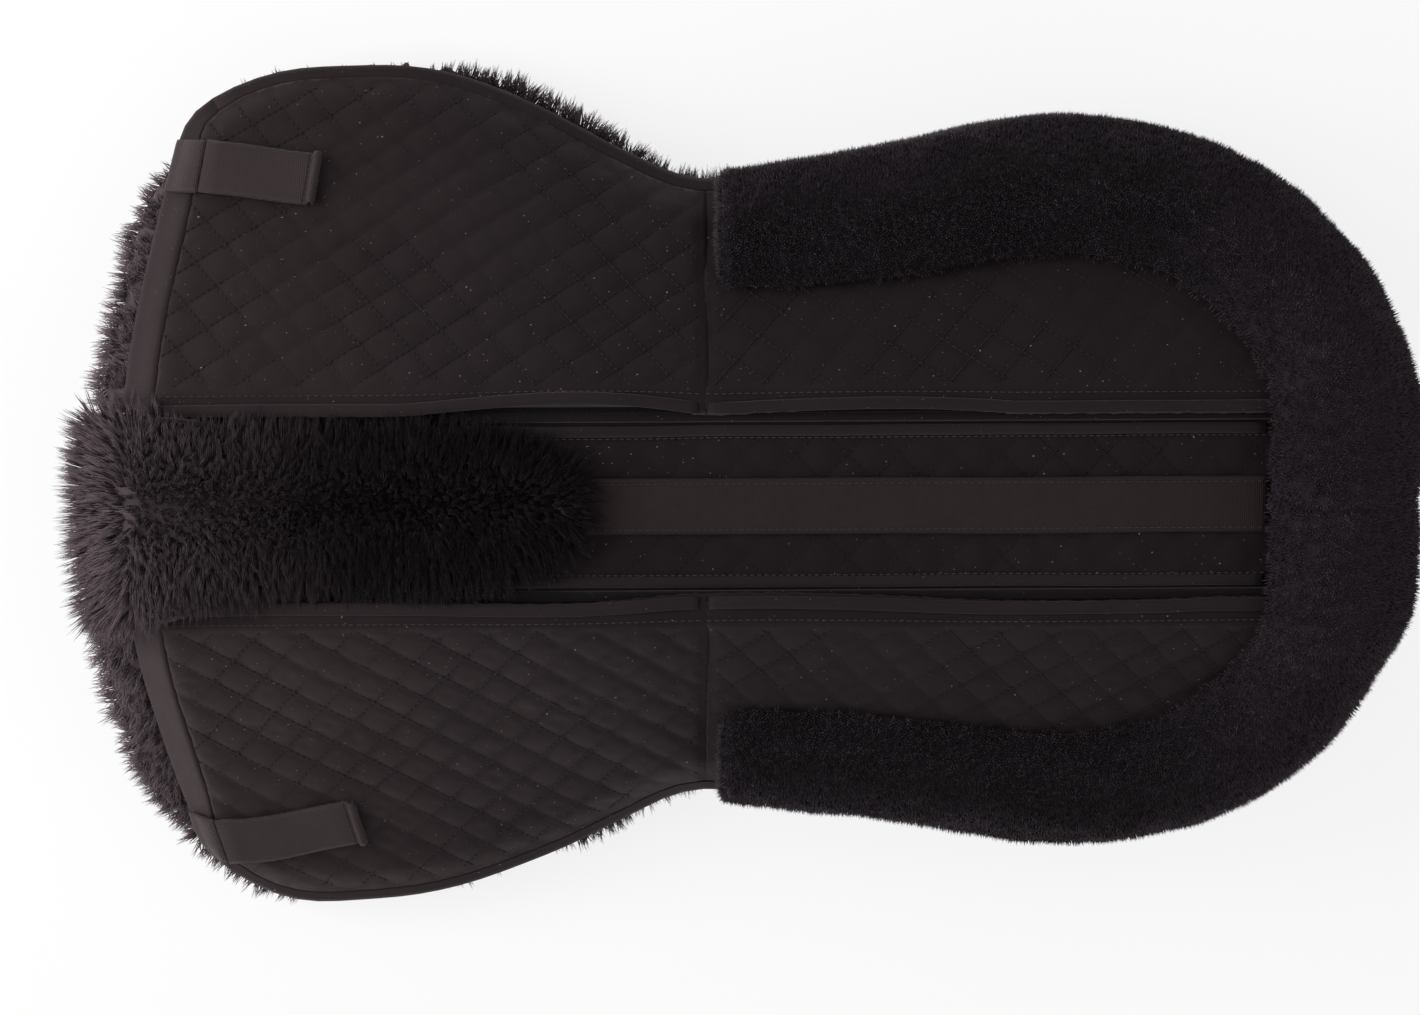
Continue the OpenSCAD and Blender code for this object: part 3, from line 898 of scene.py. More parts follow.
def inflate(piece, pinned, cap):
    """Blows the cloth up between its sewn points, and keeps the result within a cap."""
    start = coordinates(piece)
    group = piece.vertex_groups.new(name="sewn")
    for i in np.nonzero(pinned)[0]:
        group.add([int(i)], 1.0, "REPLACE")
    cloth = piece.modifiers.new("cloth", "CLOTH")
    s = cloth.settings
    s.quality = 4
    s.mass = 0.12
    s.tension_stiffness = s.compression_stiffness = 12
    s.shear_stiffness = 4
    s.bending_stiffness = 0.08
    s.use_pressure = True
    s.uniform_pressure_force = PRESSURE
    s.vertex_group_mass = "sewn"
    s.shrink_min = -0.05
    s.effector_weights.gravity = 0
    cloth.collision_settings.use_collision = False
    cloth.point_cache.frame_start = 1
    cloth.point_cache.frame_end = PRESSED_FRAMES
    for f in range(1, PRESSED_FRAMES + 1):
        scene.frame_set(f)
    finished(piece)
    scene.frame_set(1)
    moved = coordinates(piece) - start
    length = np.linalg.norm(moved, axis=1)[:, None]
    set_coordinates(piece, start + moved * np.minimum(1, cap / np.maximum(length, 1e-9)))
    piece.vertex_groups.clear()


def cover(name, front, side, seed):
    """A quilted cover: fine cloth over the padding, sewn down along the diamonds."""
    turn = FRONT_TURN if front else REAR_TURN
    flat, faces = flat_mesh(cover_boundary(front), PITCH / 8, turn)
    x, v = flat[:, 0], flat[:, 1]
    puff, seam = quilted(flat, turn, seed)
    beside_mouth = ease((v - 7 * MM) / (6 * MM))
    at_waist = 1 - ease(np.abs(x - WAIST_X) / (5 * MM))
    place = flank(x, *cover_place(x, v, side))
    fall = cover_fall(x, place[:, 1])
    sewn_edge = ease((fall - 4.5 * MM) / (2.5 * MM))
    puffed = puff * beside_mouth * (1 - at_waist) * (1 - sewn_edge) * (1 if front else REAR_PUFF)
    rolling = 1.2 * soft_noise(place, 70 * MM, seed) + 0.5 * soft_noise(place, 26 * MM, seed + 9)
    rolling = rolling * MM * ease((v - 6 * MM) / (20 * MM)) * (1 - sewn_edge)
    drop = (beside_mouth * PUFF * (1 - puffed) + 0.7 * MM * at_waist * ease(v / (12 * MM))
            - np.minimum(rolling, 0.4 * MM))
    piece = add_mesh(name, cover_point(x, v, drop, side), faces)
    # marks how near each point lies to a quilting seam, for the cotton's painted seam shade
    mark(piece, "sewn", bell(seam, 0, SEAM_SHADE_WIDTH) * beside_mouth * (1 if front else REAR_PUFF))
    pinned = (seam < 0.9 * MM) | (beside_mouth < 0.6) | (at_waist > 0.3) | (sewn_edge > 0.4)
    face_up(piece)
    inflate(piece, pinned, 0.34 * MM if front else 0.22 * MM)
    return thickened(relaxed(piece, 2), 1.4 * MM)


def quilt_lines(boundary, turn=0.0):
    """The quilting lines as flat points, each an unbroken run inside the boundary."""
    low, high = boundary.min(0), boundary.max(0)
    reach = int(1.2 * (high - low).sum() / PITCH) + 2
    runs = []
    along = np.arange(-reach * PITCH, reach * PITCH, QUILT_STEP)
    for k in range(-reach, reach):
        fixed = np.full_like(along, k * PITCH)
        for a, b in ((fixed, along), (along, fixed)):
            line = turned(np.stack([(a - b), (a + b)], -1) / math.sqrt(2), turn)
            keep = inside_polygon(line, boundary)
            cuts = np.nonzero(keep[1:] != keep[:-1])[0] + 1
            for run, inside in zip(np.split(line, cuts), np.split(keep, cuts)):
                if inside[0] and len(run) > 3:
                    runs.append(run)
    return runs


def stitch_rows(name, rows, body, spacing=3.2 * MM, thread=None):
    """Rows of stitches along lines of points, as one piece."""
    points, edges = [], []
    for row in rows:
        first = len(points)
        points += [tuple(p) for p in row]
        edges += [(first + i, first + i + 1) for i in range(len(row) - 1)]
    mesh = bpy.data.meshes.new(name + "_lines")
    mesh.from_pydata(points, edges, [])
    piece = STITCHES.grown(name, add_object(name + "_lines", mesh), {
        "Stitch": STITCH, "Spacing": spacing, "Thread": thread or THREAD})
    settle(piece)
    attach(piece, body)


def cover_stitches(front, side):
    """The quilting stitches of one cover, lying in its seams."""
    boundary = cover_boundary(front)
    rows = []
    for run in quilt_lines(boundary, FRONT_TURN if front else REAR_TURN):
        x, v = run[:, 0], run[:, 1]
        fall = cover_fall(x, flank(x, *cover_place(x, v, side))[:, 1])
        keep = (v > 11 * MM) & (fall < 4 * MM) & (np.abs(x - WAIST_X) > 4 * MM)
        if keep.sum() > 3:
            rows.append(cover_point(x, v, PUFF - 0.35 * MM, side)[keep])
    return rows


for label, side in SIDES.items():
    body = label + "_side"
    for part, front in (("front", True), ("rear", False)):
        seed = 3 * side + (1 if front else 2) + 10
        piece = cover(f"{label}_{part}_quilted_cover", front, side, seed)
        stand_in(piece, "quilted_cotton", body, f"{label}_{part}_cover")
        stitch_rows(f"{label}_{part}_quilting_thread", cover_stitches(front, side), body,
                    thread=QUILT_THREAD)


# ---------- bindings and bands ----------

WIDE_STITCHES = 3.4 * MM

def swept(name, centres, across, up, profile):
    """A strip with one profile of (across, up) offsets, carried along centres."""
    return skin(name, [[c + p * a + q * u for p, q in profile]
                       for c, a, u in zip(centres, across, up)])


def binding_profile(wide, high):
    """A rolled binding: half round at its inner edge, thinning to its sewn edge."""
    arc = [(-wide / 2 + high * 0.5 * (1 - math.sin(a)), high * 0.5 * math.cos(a))
           for a in np.linspace(0, math.pi, 8)]
    return [(wide / 2, 0.15 * high)] + arc + [(wide / 2, -0.35 * high)]


def mouth_binding(label, side, part):
    """The smooth binding rolled round a pocket mouth's edge. Returns its row of stitches."""
    start, end = (-266 * MM, WAIST_X - 1 * MM) if part == "front" else (WAIST_X + 1 * MM, 236 * MM)
    x = np.arange(start, end, 3 * MM)
    zero = np.zeros_like(x)
    a = flank(x, *cover_place(x, zero, side), side)
    b = flank(x, *cover_place(x, zero + 5 * MM, side), side)
    across = (b - a) / np.linalg.norm(b - a, axis=1)[:, None]
    up = np.cross(across, np.array([[1.0, 0, 0]]))
    up *= np.sign(up[:, 2])[:, None]
    waver = soft_noise(np.c_[x, zero, zero], 45 * MM, 5 * side) * 0.4 * MM
    pinch = bell(x, WAIST_X, 7 * MM)[:, None]
    centres = (flank(x, *cover_place(x, zero + 2.2 * MM, side), side)
               + up * (0.8 - 1.2 * pinch) * MM + across * waver[:, None])
    piece = swept(f"{label}_{part}_rolled_binding", centres, across, up,
                  binding_profile(5.6 * MM, 2.4 * MM))
    stand_in(piece, "plain_cotton", label + "_side", f"{label}_{part}_mouth_binding")
    down, rise = cover_place(x, zero + 6.2 * MM, side)
    return flank(x, down, rise + 0.25 * MM, side)


def edge_profile(line_i, width, side):
    """Points of a band lying over the pad's edge, from its inner line round to underneath."""
    p, out = edge[line_i], edge_out[line_i]
    shape = []
    for inset in np.linspace(width, 0.5 * MM, 9):
        q = p - inset * out
        t = inset / width
        fall = cover_fall(q[:1], q[1:])[0]
        swell = 0.1 * width * math.sin(math.pi * min(1, 1.02 - t)) ** 0.7 if t < 0.99 else -1.6 * MM
        shape.append(on_plan(*q, COVER_TOP - fall - PUFF + 0.3 * MM + swell, side))
    for outset, rise in ((1.0, EDGE_RISE - PUFF - 1 * MM), (1.2, 4 * MM), (0.9, 1.5 * MM),
                         (-1.5, 0.6 * MM), (-3, 1.5 * MM)):
        shape.append(on_plan(*(p + outset * MM * out), rise, side))
    return shape + [on_plan(*(p - 0.85 * width * out), 3 * MM, side)]


for label, side in SIDES.items():
    body = label + "_side"
    rows = [mouth_binding(label, side, part) for part in ("front", "rear")]
    stitch_rows(f"{label}_mouth_thread", rows, body, WIDE_STITCHES)
    width = np.linalg.norm(edge - cotton_edge, axis=1) + 1 * MM
    band = skin(f"{label}_front_band", [edge_profile(i, width[i], side)
                                        for i in range(1, FRONT_I + 2)])
    stand_in(band, "plain_cotton", body, f"{label}_front_edge_band")
    trim = skin(f"{label}_edge_binding", [edge_profile(i, width[i], side)
                                          for i in range(FRONT_I + 1, WAIST_I + 5)])
    stand_in(trim, "plain_cotton", body, f"{label}_flank_binding", material=COTTON)
    inner = [edge[i] - (width[i] - 1.8 * MM) * edge_out[i] for i in range(1, FRONT_I + 1)]
    row = [on_plan(*q, COVER_TOP - PUFF + 0.7 * MM - cover_fall(q[:1], q[1:])[0], side)
           for q in inner]
    stitch_rows(f"{label}_band_thread", [row], body, WIDE_STITCHES)


# ---------- liner, spine strip and spine webbing ----------

LINER_RISE = 2 * MM                   # rise of the pocket cloth's upper face


def liner_sheet(label, side):
    """The cloth under the pockets, which shows in their mouths."""
    line = np.stack([cotton_edge[:, 0], down_at(cotton_edge[:, 1], LINER_RISE)], -1)
    line = line[line[:, 1] > 3 * MM]
    boundary = np.vstack([[line[0, 0], 0.6 * MM], line, [line[-1, 0], 0.6 * MM]])
    flat, faces = flat_mesh(boundary, 7 * MM)
    place = flank(flat[:, 0], flat[:, 1], LINER_RISE, side)
    piece = add_mesh(f"{label}_pocket_cloth", place, faces)
    thickened(piece, 1.8 * MM)
    # painted shade: the liner wears the darker copy of the plain cotton
    stand_in(piece, "plain_cotton", label + "_side", f"{label}_pocket_liner",
             f"{label}_padding", material=SHADED_COTTON)


def fold_cloth(label, side):
    """The cloth that bends at the fold line, from under the spine strip to the liner."""
    x = np.arange(strip_low.x + 2 * MM, strip_high.x - 2 * MM, 12 * MM)
    rows = [points_at(x, side * (FOLD_Y + y * MM), SPINE_Z + z * MM)
            for y, z in ((-4.5, -1.9), (-2, -1.7), (0, -1.6))]
    rows += [flank(x, down * MM, 0.1 * MM, side) for down in (1.5, 3.5, 6)]
    piece = grid_sheet(f"{label}_fold_cloth", rows, 0.9 * MM)
    # painted shade: the fold cloth wears the darker copy of the plain cotton
    dress(piece, "plain_cotton", SHADED_COTTON)
    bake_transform(piece)


def spine_strip():
    """The quilted strip along the spine."""
    half = SPINE_HALF - 1.6 * MM
    boundary = np.array([[strip_low.x, -half], [strip_high.x, -half], [strip_high.x, half],
                         [strip_low.x, half]])
    flat, faces = flat_mesh(boundary, PITCH / 6)
    puff, seam = quilted(flat, 0.0, 4)
    away = ease((half - np.abs(flat[:, 1])) / (5 * MM))
    z = SPINE_Z - 1.0 * MM * (1 - puff * away) - 0.4 * MM
    z += np.minimum(0.3 * MM, soft_noise(np.c_[flat, z], 30 * MM, 12) * 0.5 * MM)
    piece = add_mesh("spine_quilted_strip", np.c_[flat, z], faces)
    # marks how near each point lies to a quilting seam, for the cotton's painted seam shade
    mark(piece, "sewn", bell(seam, 0, SEAM_SHADE_WIDTH) * away * 0.5)
    thickened(piece, 1.2 * MM)
    stand_in(piece, "quilted_cotton", "spine", "spine_strip")
    rows = [np.c_[run, np.full(len(run), SPINE_Z - 1.3 * MM)]
            for run in quilt_lines(boundary * 0.97)]
    stitch_rows("spine_quilting_thread", rows, "spine", thread=QUILT_THREAD)


def spine_felt():
    """The felt under the strip: a slab with soft edges."""
    low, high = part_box("spine_felt")
    half, thick = high.y, high.z - low.z
    round_r = thick * 0.42
    x = np.linspace(low.x, high.x, 40)
    corner = [(half - round_r + round_r * math.cos(a), low.z + round_r + round_r * math.sin(a))
              for a in np.linspace(-math.pi / 2, math.pi / 2, 5)]
    ring = corner + [(-y, z) for y, z in reversed(corner)]
    rings = [[(px, y, min(z, high.z)) for y, z in ring] for px in x]
    piece = skin("spine_wool_felt", rings)
    stand_in(piece, "wool_felt", "spine", "spine_felt")


def spine_binding(label, side):
    """The smooth binding along one edge of the spine strip. Returns its row of stitches."""
    x = np.arange(-268 * MM, 236 * MM, 4 * MM)
    waver = soft_noise(np.c_[x, np.zeros((len(x), 2))], 60 * MM, side + 3) * 0.4 * MM
    y = side * (SPINE_HALF - 2.4 * MM - 0.5 * MM * mouth_open(x, side) + waver)
    centres = points_at(x, y, SPINE_Z + 0.1 * MM)
    across = np.tile([0.0, -side, 0.0], (len(x), 1))
    up = np.tile([0.0, 0.0, 1.0], (len(x), 1))
    piece = swept(f"{label}_spine_rolled_binding", centres, across, up,
                  binding_profile(4.8 * MM, 2.4 * MM))
    stand_in(piece, "plain_cotton", "spine", f"{label}_spine_binding")
    row = centres + np.array([0, -side * 3.1 * MM, 0.35 * MM])
    return row[x > -110 * MM]


def spine_webbing():
    """Bare woven tape, in slow waves, with thick selvedges. Returns its rows of stitches."""
    low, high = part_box("spine_webbing")
    half = (high.y - low.y) / 2
    x = np.arange(low.x - 8 * MM, high.x + 4 * MM, 2.5 * MM)
    rows = []
    for t in np.linspace(-1, 1, 17):
        selvedge = 0.35 * MM * (abs(t) > 0.86)
        swell = soft_noise(np.c_[x, np.full_like(x, t * 6 * MM), np.zeros_like(x)], 38 * MM, 2)
        y = t * half + 0.5 * MM * soft_noise(np.c_[x, np.zeros((len(x), 2))], 90 * MM, 8)
        rows.append(points_at(x, y, SPINE_Z + 1.4 * MM + selvedge + 0.5 * MM * swell))
    piece = grid_sheet("spine_woven_tape", rows, 1.1 * MM)
    stand_in(piece, "webbing", "spine", "spine_webbing", material=TAPE)
    return [points_at(x, s * (half - 2.2 * MM), SPINE_Z + 1.75 * MM) for s in (-1, 1)]


spine_strip()
spine_felt()
tape_rows = spine_webbing()
for label, side in SIDES.items():
    liner_sheet(label, side)
    fold_cloth(label, side)
    tape_rows.append(spine_binding(label, side))
stitch_rows("spine_tape_thread", tape_rows, "spine")


# ---------- wool ----------

def near(co, x, y, reach):
    """1 at a place on the plan, falling off to 0 at about the reach."""
    return np.exp(-((co[:, 0] - x) ** 2 + (co[:, 1] - y) ** 2) / reach ** 2)


def roughen(piece, amount, scale, seed):
    """Pushes the fleece in and out in clumps."""
    co, n = coordinates(piece), normals(piece)
    push = soft_noise(co, scale, seed) + 0.5 * soft_noise(co, scale * 0.45, seed + 1)
    set_coordinates(piece, co + n * (push * amount)[:, None])


def fleece(name, base, slot, lock, density, width, length, lean, spread, clump, seed,
           material=None):
    """The fleece base with its locks, as one piece."""
    material = material or SLOTS[slot]
    base.data.materials.clear()
    base.data.materials.append(material)
    piece = WOOL.grown(name, base, {
        "Lock": lock, "Density": density * 1.0, "Width": width,
        "Length": length, "Lean": lean, "Spread": spread, "Clump": clump, "Seed": seed,
        "Finish": material})
    settle(piece)
    return piece


def fleece_base(label):
    """A finely meshed copy of a flank's sheepskin, drawn in to leave room for its locks."""
    piece = add_object(f"{label}_fleece_base", frame["nodes"][f"{label}_sheepskin"].data.copy())
    piece.data.materials.clear()
    remesh = piece.modifiers.new("remesh", "REMESH")
    remesh.mode, remesh.voxel_size = "VOXEL", 4 * MM
    relaxed(piece, 6)
    set_coordinates(piece, coordinates(piece) - normals(piece) * (5 * MM))
    piece.data.shade_smooth()
    return piece


def lining(label, side):
    """The sheepskin against the horse: curled wool below and all round the edge."""
    base = fleece_base(label)
    smooth = coordinates(base)
    roughen(base, 1.6 * MM, 14 * MM, 20 + side)
    co, n = coordinates(base), normals(base)
    plan = np.stack([co[:, 0], np.abs(co[:, 1])], -1)
    under_cotton = inside_polygon(plan, np.vstack([[edge[0, 0], 0], edge, [edge[-1, 0], 0]]))
    grow = np.where((n[:, 2] > 0.45) & under_cotton, 0.0, 1.0)
    grow = np.where(n[:, 2] < -0.5, 0.4, grow)
    # round the widest part the edge is clipped short and tucked under the cotton
    clipped = bell(co[:, 0], -172 * MM, 46 * MM, 4) * (plan[:, 1] > 165 * MM)
    if side < 0:
        further = 0.8 * bell(co[:, 0], -110 * MM, 34 * MM, 4) * (plan[:, 1] > 140 * MM)
        clipped = np.maximum(clipped, further)
    grow = grow * (1 - 0.86 * clipped)
    co = co + (smooth - co) * (0.85 * clipped)[:, None] - n * (clipped * 2.5 * MM)[:, None]
    if side > 0:
        # the front corner's wool lies under the cotton
        corner = near(co, -260 * MM, 174 * MM, 46 * MM)
        grow = grow * (1 - 0.85 * corner)
        inward = np.array([-190 * MM, 100 * MM]) - co[:, :2]
        inward /= np.linalg.norm(inward, axis=1)[:, None]
        co[:, :2] += inward * (corner * 11 * MM)[:, None]
        at_front = ease((-240 * MM - co[:, 0]) / (30 * MM))
        co[:, 0] += (5 + 4 * bell(co[:, 1], 84 * MM, 26 * MM)) * MM * at_front
    else:
        corner = near(co, -252 * MM, -160 * MM, 34 * MM)
        grow = grow * (1 - 0.3 * corner)
        co[:, :2] += np.array([3.5 * MM, 2.5 * MM]) * corner[:, None]
    set_coordinates(base, co)
    comb = points_at(np.zeros(len(co)), side * 0.5, -0.1)
    comb[co[:, 0] < -262 * MM] = (-0.8, 0.15 * side, 0.0)
    mark(base, "grow", grow)
    mark(base, "comb", comb)
    # painted light: the lining wears the paler fringe wool
    piece = fleece(f"{label}_sheepskin_lining", base, "long_wool", TUFT, density=90000,
                   width=2.0 * MM, length=11 * MM, lean=0.4, spread=0.35, clump=1.6,
                   seed=5 + side, material=LIT_FRINGE_WOOL)
    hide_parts(f"{label}_sheepskin")
    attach(piece, label + "_side")


def roll_rings():
    """Rings of the right half of the rear roll, from its arm's end to the centre-back seam."""
    rim = np.vstack([[ROLL_X, edge[WAIST_I + 1, 1]],
                     [p for p in edge[WAIST_I + 2:] if p[1] > FOLD_Y + 3 * MM],
                     [[296 * MM, y * MM] for y in (30, 20, 10, 0)]])
    rim = resampled(rim, 8 * MM)
    inner = np.vstack([curve(ROLL_CORNERS), [[231.5 * MM, y * MM] for y in (30, 15, 0)]])
    inner = resampled(inner, 1 * MM)
    out = outward(rim)
    out[0], out[-1] = (0, 1), (1, 0)
    count = len(rim)
    rings = []
    for i in range(count):
        t = i / (count - 1)
        start = inner[int(round(t ** 0.93 * (len(inner) - 1)))]
        if i == 0:
            start = np.array([ROLL_X, start[1]])
        to = rim[i] + 3.6 * MM * out[i]
        lip = rim[i] + 0.8 * MM * out[i]
        high = (18 + 8 * min(1, 1.6 * t)) * MM
        depth = math.sin(math.pi * (t * 0.86)) ** 0.6
        foot = max(0, 1 - ((t - 0.37) / 0.22) ** 2)
        ring = []
        for a in np.linspace(0, math.pi, 15):
            share = (1 - math.cos(a)) / 2
            p = start + (to - start) * share
            ring.append(roll_point(p, high * math.sin(math.pi * share ** 0.8) ** 0.72))
        low_z = roll_point(to, 0)[2] - (COVER_TOP + 24 * MM * depth) * 1.05 - 20 * MM * foot
        if t > 0.8 and rim[i, 1] < 40 * MM:
            low_z = max(low_z, SPINE_Z - 9 * MM)
        low_z = max(low_z, 1.5 * MM)
        ring += [(*to, 0.5 * (ring[-1][2] + low_z)), (*to, low_z), (*lip, low_z),
                 (*lip, roll_point(lip, 0)[2]), roll_point((start + lip) / 2, 0)]
        rings.append(ring)
    return np.array(rings)


def roll_point(plan, rise):
    """A point on the roll: over the flank's cover, easing to level over the spine."""
    y = max(plan[1], 0)
    over = float(ease((y - 26 * MM) / (26 * MM)))
    down = float(down_at(max(y, FOLD_Y + 10 * MM), COVER_TOP))
    slope = float(slope_at(max(down, 0))) * float(ease((y - 8 * MM) / (42 * MM)))
    flank_z = float(on_plan(plan[0], max(y, FOLD_Y + 10 * MM), COVER_TOP)[2])
    z = flank_z * over + (SPINE_Z + 8 * MM) * (1 - over)
    return np.array([plan[0], y + rise * math.sin(slope), z + rise * math.cos(slope) + 0.4 * MM])


def rear_roll(label, side):
    """Half of the U-shaped roll of short, dense wool."""
    rings = roll_rings()
    rings[..., 1] *= side
    base = skin(f"{label}_roll_base", rings)
    subdivided(base, 2)
    co = coordinates(base)
    inset = co - normals(base) * 1.2 * MM
    at_seam = np.abs(co[:, 1]) < 4 * MM
    inset[at_seam, 1] = co[at_seam, 1]
    set_coordinates(base, inset)
    roughen(base, 0.9 * MM, 22 * MM, 40)
    co, n = coordinates(base), normals(base)
    near_seam = ease((6 * MM - np.abs(co[:, 1])) / (6 * MM))
    co[:, 2] -= np.where(n[:, 2] > 0, 1.6 * MM * near_seam ** 2, 0)
    at_seam = np.abs(co[:, 1]) < 4 * MM
    co[at_seam, 1] *= 0.15
    set_coordinates(base, co)
    cut_face = (np.abs(n[:, 1]) > 0.8) & (np.abs(co[:, 1]) < 3 * MM)
    grow = np.where((n[:, 2] < -0.35) | cut_face, 0.0, 1.0)
    # painted sheen: the wool is marked to be painted paler where it faces outwards, standing in for
    # light caught at grazing angles
    away = co[:, :2] - np.array([60 * MM, 0])
    away /= np.linalg.norm(away, axis=1)[:, None]
    facing = (n[:, :2] * away).sum(1)
    mark(base, "rim", 0.25 * ease((facing - 0.3) / 0.6))
    mark(base, "grow", grow)
    mark(base, "comb", points_at(np.full(len(co), 0.25), side * 0.35, 0))
    piece = fleece(f"{label}_rear_wool_roll", base, "short_wool", NAP, density=380000,
                   width=0.85 * MM, length=4.0 * MM, lean=0.25, spread=0.3, clump=0.7,
                   seed=60 + side)
    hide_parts(f"{label}_rear_roll", "rear_roll_center")
    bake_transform(piece)


def wither_wool():
    """Long wool over the withers, spilling past its hide on all sides."""
    low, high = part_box("wither_wool")
    rings = []
    for x in np.linspace(low.x + 10.5 * MM, high.x - 3 * MM, 46):
        past = max(0, (x - high.x + 80 * MM) / (80 * MM))
        full = math.sqrt(max(0.02, 1 - past ** 2.2))
        nose = float(ease((-200 * MM - x) / (60 * MM)))
        half = (SPINE_HALF - 2 * MM) * full + 12 * MM * nose
        tall = (14.5 + 2.5 * nose) * MM * full ** 0.8
        tall *= 1 - 0.75 * float(ease((low.x + 32 * MM - x) / (20 * MM)))
        bottom = SPINE_Z - 9 * MM * float(ease((-262 * MM - x) / (26 * MM)))
        foot = SPINE_Z if x < -262 * MM else SPINE_Z + 15 * MM * nose
        ring = []
        for a in np.linspace(0, math.pi, 17):
            top = SPINE_Z + 0.5 * MM + tall * math.sin(a) ** 1.1
            y = -half * math.cos(a) - 3 * MM * nose
            ring.append((x, y, top if math.sin(a) >= 0.3 else foot))
        ring += [(x, half * 0.75, bottom), (x, 0, bottom), (x, -half * 0.75, bottom)]
        rings.append(ring)
    base = skin("wither_base", rings)
    subdivided(base, 1)
    roughen(base, 1.3 * MM, 22 * MM, 77)
    co, n = coordinates(base), normals(base)
    parting = bell(co[:, 1], 0, 2.5 * MM) * (co[:, 0] > -290 * MM) * (co[:, 0] < -225 * MM)
    grow = np.where(n[:, 2] < -0.4, 0.0, 1.0) * (1 - 0.6 * parting)
    mark(base, "grow", grow)
    mark(base, "comb", points_at(np.where(co[:, 0] < -270 * MM, -0.7, 0.2),
                                 np.clip(co[:, 1] / (26 * MM), -1, 1) * 0.8, 0))
    piece = fleece("wither_long_wool", base, "long_wool", PLUSH, density=270000,
                   width=1.0 * MM, length=13 * MM, lean=0.6, spread=0.22, clump=0.32, seed=90)
    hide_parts("wither_wool")
    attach(piece, "spine")


for label, side in SIDES.items():
    lining(label, side)
    rear_roll(label, side)
wither_wool()

# ---------- straps ----------

STRAP_Y = 154 * MM
STRAP_W = 28 * MM
STRAP_X = -246 * MM                   # where a strap starts to lift
STRAP_RISE = 18.9 * MM                # rise of its underside
STRAP_SLOPE = math.asin((SPLAY_C[0] - STRAP_Y) / (SPLAY_RADIUS - STRAP_RISE))
STRAP_Z = SPLAY_C[1] - (SPLAY_RADIUS - STRAP_RISE) * math.cos(STRAP_SLOPE)
WEBBING_TOP = 1.3 * MM                # how thick the webbing is, and its upper face's height
CLOSE_STITCHES = 2.8 * MM
ACROSS = np.linspace(-STRAP_W / 2, STRAP_W / 2, 13)
# how each strap lies: its free end, how far it is set outwards, and its turn on the flank
STRAP_LIES = {1: (-192 * MM, -3.5 * MM, math.radians(-5)),
              -1: (-178 * MM, 11 * MM, math.radians(-9))}


def at_strap(along, across, lift, side):
    """Points in a strap's own directions: along it, across it and above its underside."""
    _, out, turn = STRAP_LIES[side]
    x = STRAP_X + along * math.cos(turn) - across * math.sin(turn)
    u = out + along * math.sin(turn) + across * math.cos(turn)
    y = STRAP_Y + u * math.cos(STRAP_SLOPE) + lift * math.sin(STRAP_SLOPE)
    z = STRAP_Z - u * math.sin(STRAP_SLOPE) + lift * math.cos(STRAP_SLOPE)
    return points_at(x, side * y, z)


def strap(label, side):
    """The free strap: flat webbing whose end is folded back into a stitched ridge."""
    length = STRAP_LIES[side][0] - STRAP_X
    line = [(0.6, 0.9), (8, 0.4)]
    line += [(a, 0.3 + 0.3 * math.sin(a / 9)) for a in np.linspace(14, length / MM - 8, 8)]
    ridge = ((5.4, 0.1), (4.3, 0.0), (3.7, 1.4), (2.8, 2.4), (1.8, 2.6), (0.7, 2.2), (0.1, 1.0),
             (0, 0))
    line += [(length / MM - b, lift) for b, lift in ridge]
    rows = [[at_strap(a * MM, u, (lift + 1.3 - 0.15 * (abs(u) > 12.5 * MM)) * MM, side)
             for a, lift in line] for u in ACROSS]
    piece = grid_sheet(f"{label}_strap_webbing", rows, WEBBING_TOP)
    stand_in(piece, "webbing", f"{label}_strap_body", f"{label}_strap")
    row = at_strap(length - 6 * MM, np.linspace(-12.5, 12.5, 9) * MM, 1.6 * MM, side)
    stitch_rows(f"{label}_strap_thread", [row], f"{label}_strap_body", CLOSE_STITCHES)


def strap_anchor(label, side):
    """The strap's sewn end: over the front band and round the edge."""
    rows = []
    for u in ACROSS:
        start = at_strap(0, u, WEBBING_TOP, side)
        y = abs(start[1])
        front = float(np.interp(y, edge[:FRONT_I + 2, 1], edge[:FRONT_I + 2, 0]))
        row = [on_plan(front + dx * MM, y, rise * MM, side)
               for dx, rise in ((-1.4, 0.6), (-2.3, 3), (-2.2, 5.5), (-1.0, 7.6), (1.2, 9.2))]
        first = row[-1]
        bulge = 2.6 * MM * min(1, np.linalg.norm(start - first) / (12 * MM))
        for t in np.linspace(0.12, 1, 9):
            p = first + (start - first) * t
            p[2] += bulge * math.sin(math.pi * t)
            row.append(p)
        rows.append(row)
    piece = grid_sheet(f"{label}_strap_sewn_end", rows, WEBBING_TOP)
    stand_in(piece, "webbing", label + "_side", f"{label}_strap_anchor")
    row = at_strap(-2 * MM, np.linspace(-11, 11, 8) * MM, 1.9 * MM, side)
    stitch_rows(f"{label}_anchor_thread", [row], label + "_side", CLOSE_STITCHES)


def strap_patches(label, side):
    """The loop patch on the cover and the hook patch under the strap that closes on it."""
    length = STRAP_LIES[side][0] - STRAP_X
    for part, body, node, lift, start, end, narrow in (
            ("loop_pad", label + "_side", "strap_loop_patch", -1.6, 8, 8, 3),
            ("hook_pad", label + "_strap_body", "strap_hook_patch", 0.1, 12, 10, 2)):
        along = np.linspace(start * MM, length - end * MM, 12)
        rows = [at_strap(along, u, lift * MM, side)
                for u in np.linspace(-STRAP_W / 2 + narrow * MM, STRAP_W / 2 - narrow * MM, 7)]
        piece = grid_sheet(f"{label}_strap_{part}", rows, 1.0 * MM)
        stand_in(piece, "hook_and_loop", body, f"{label}_{node}")


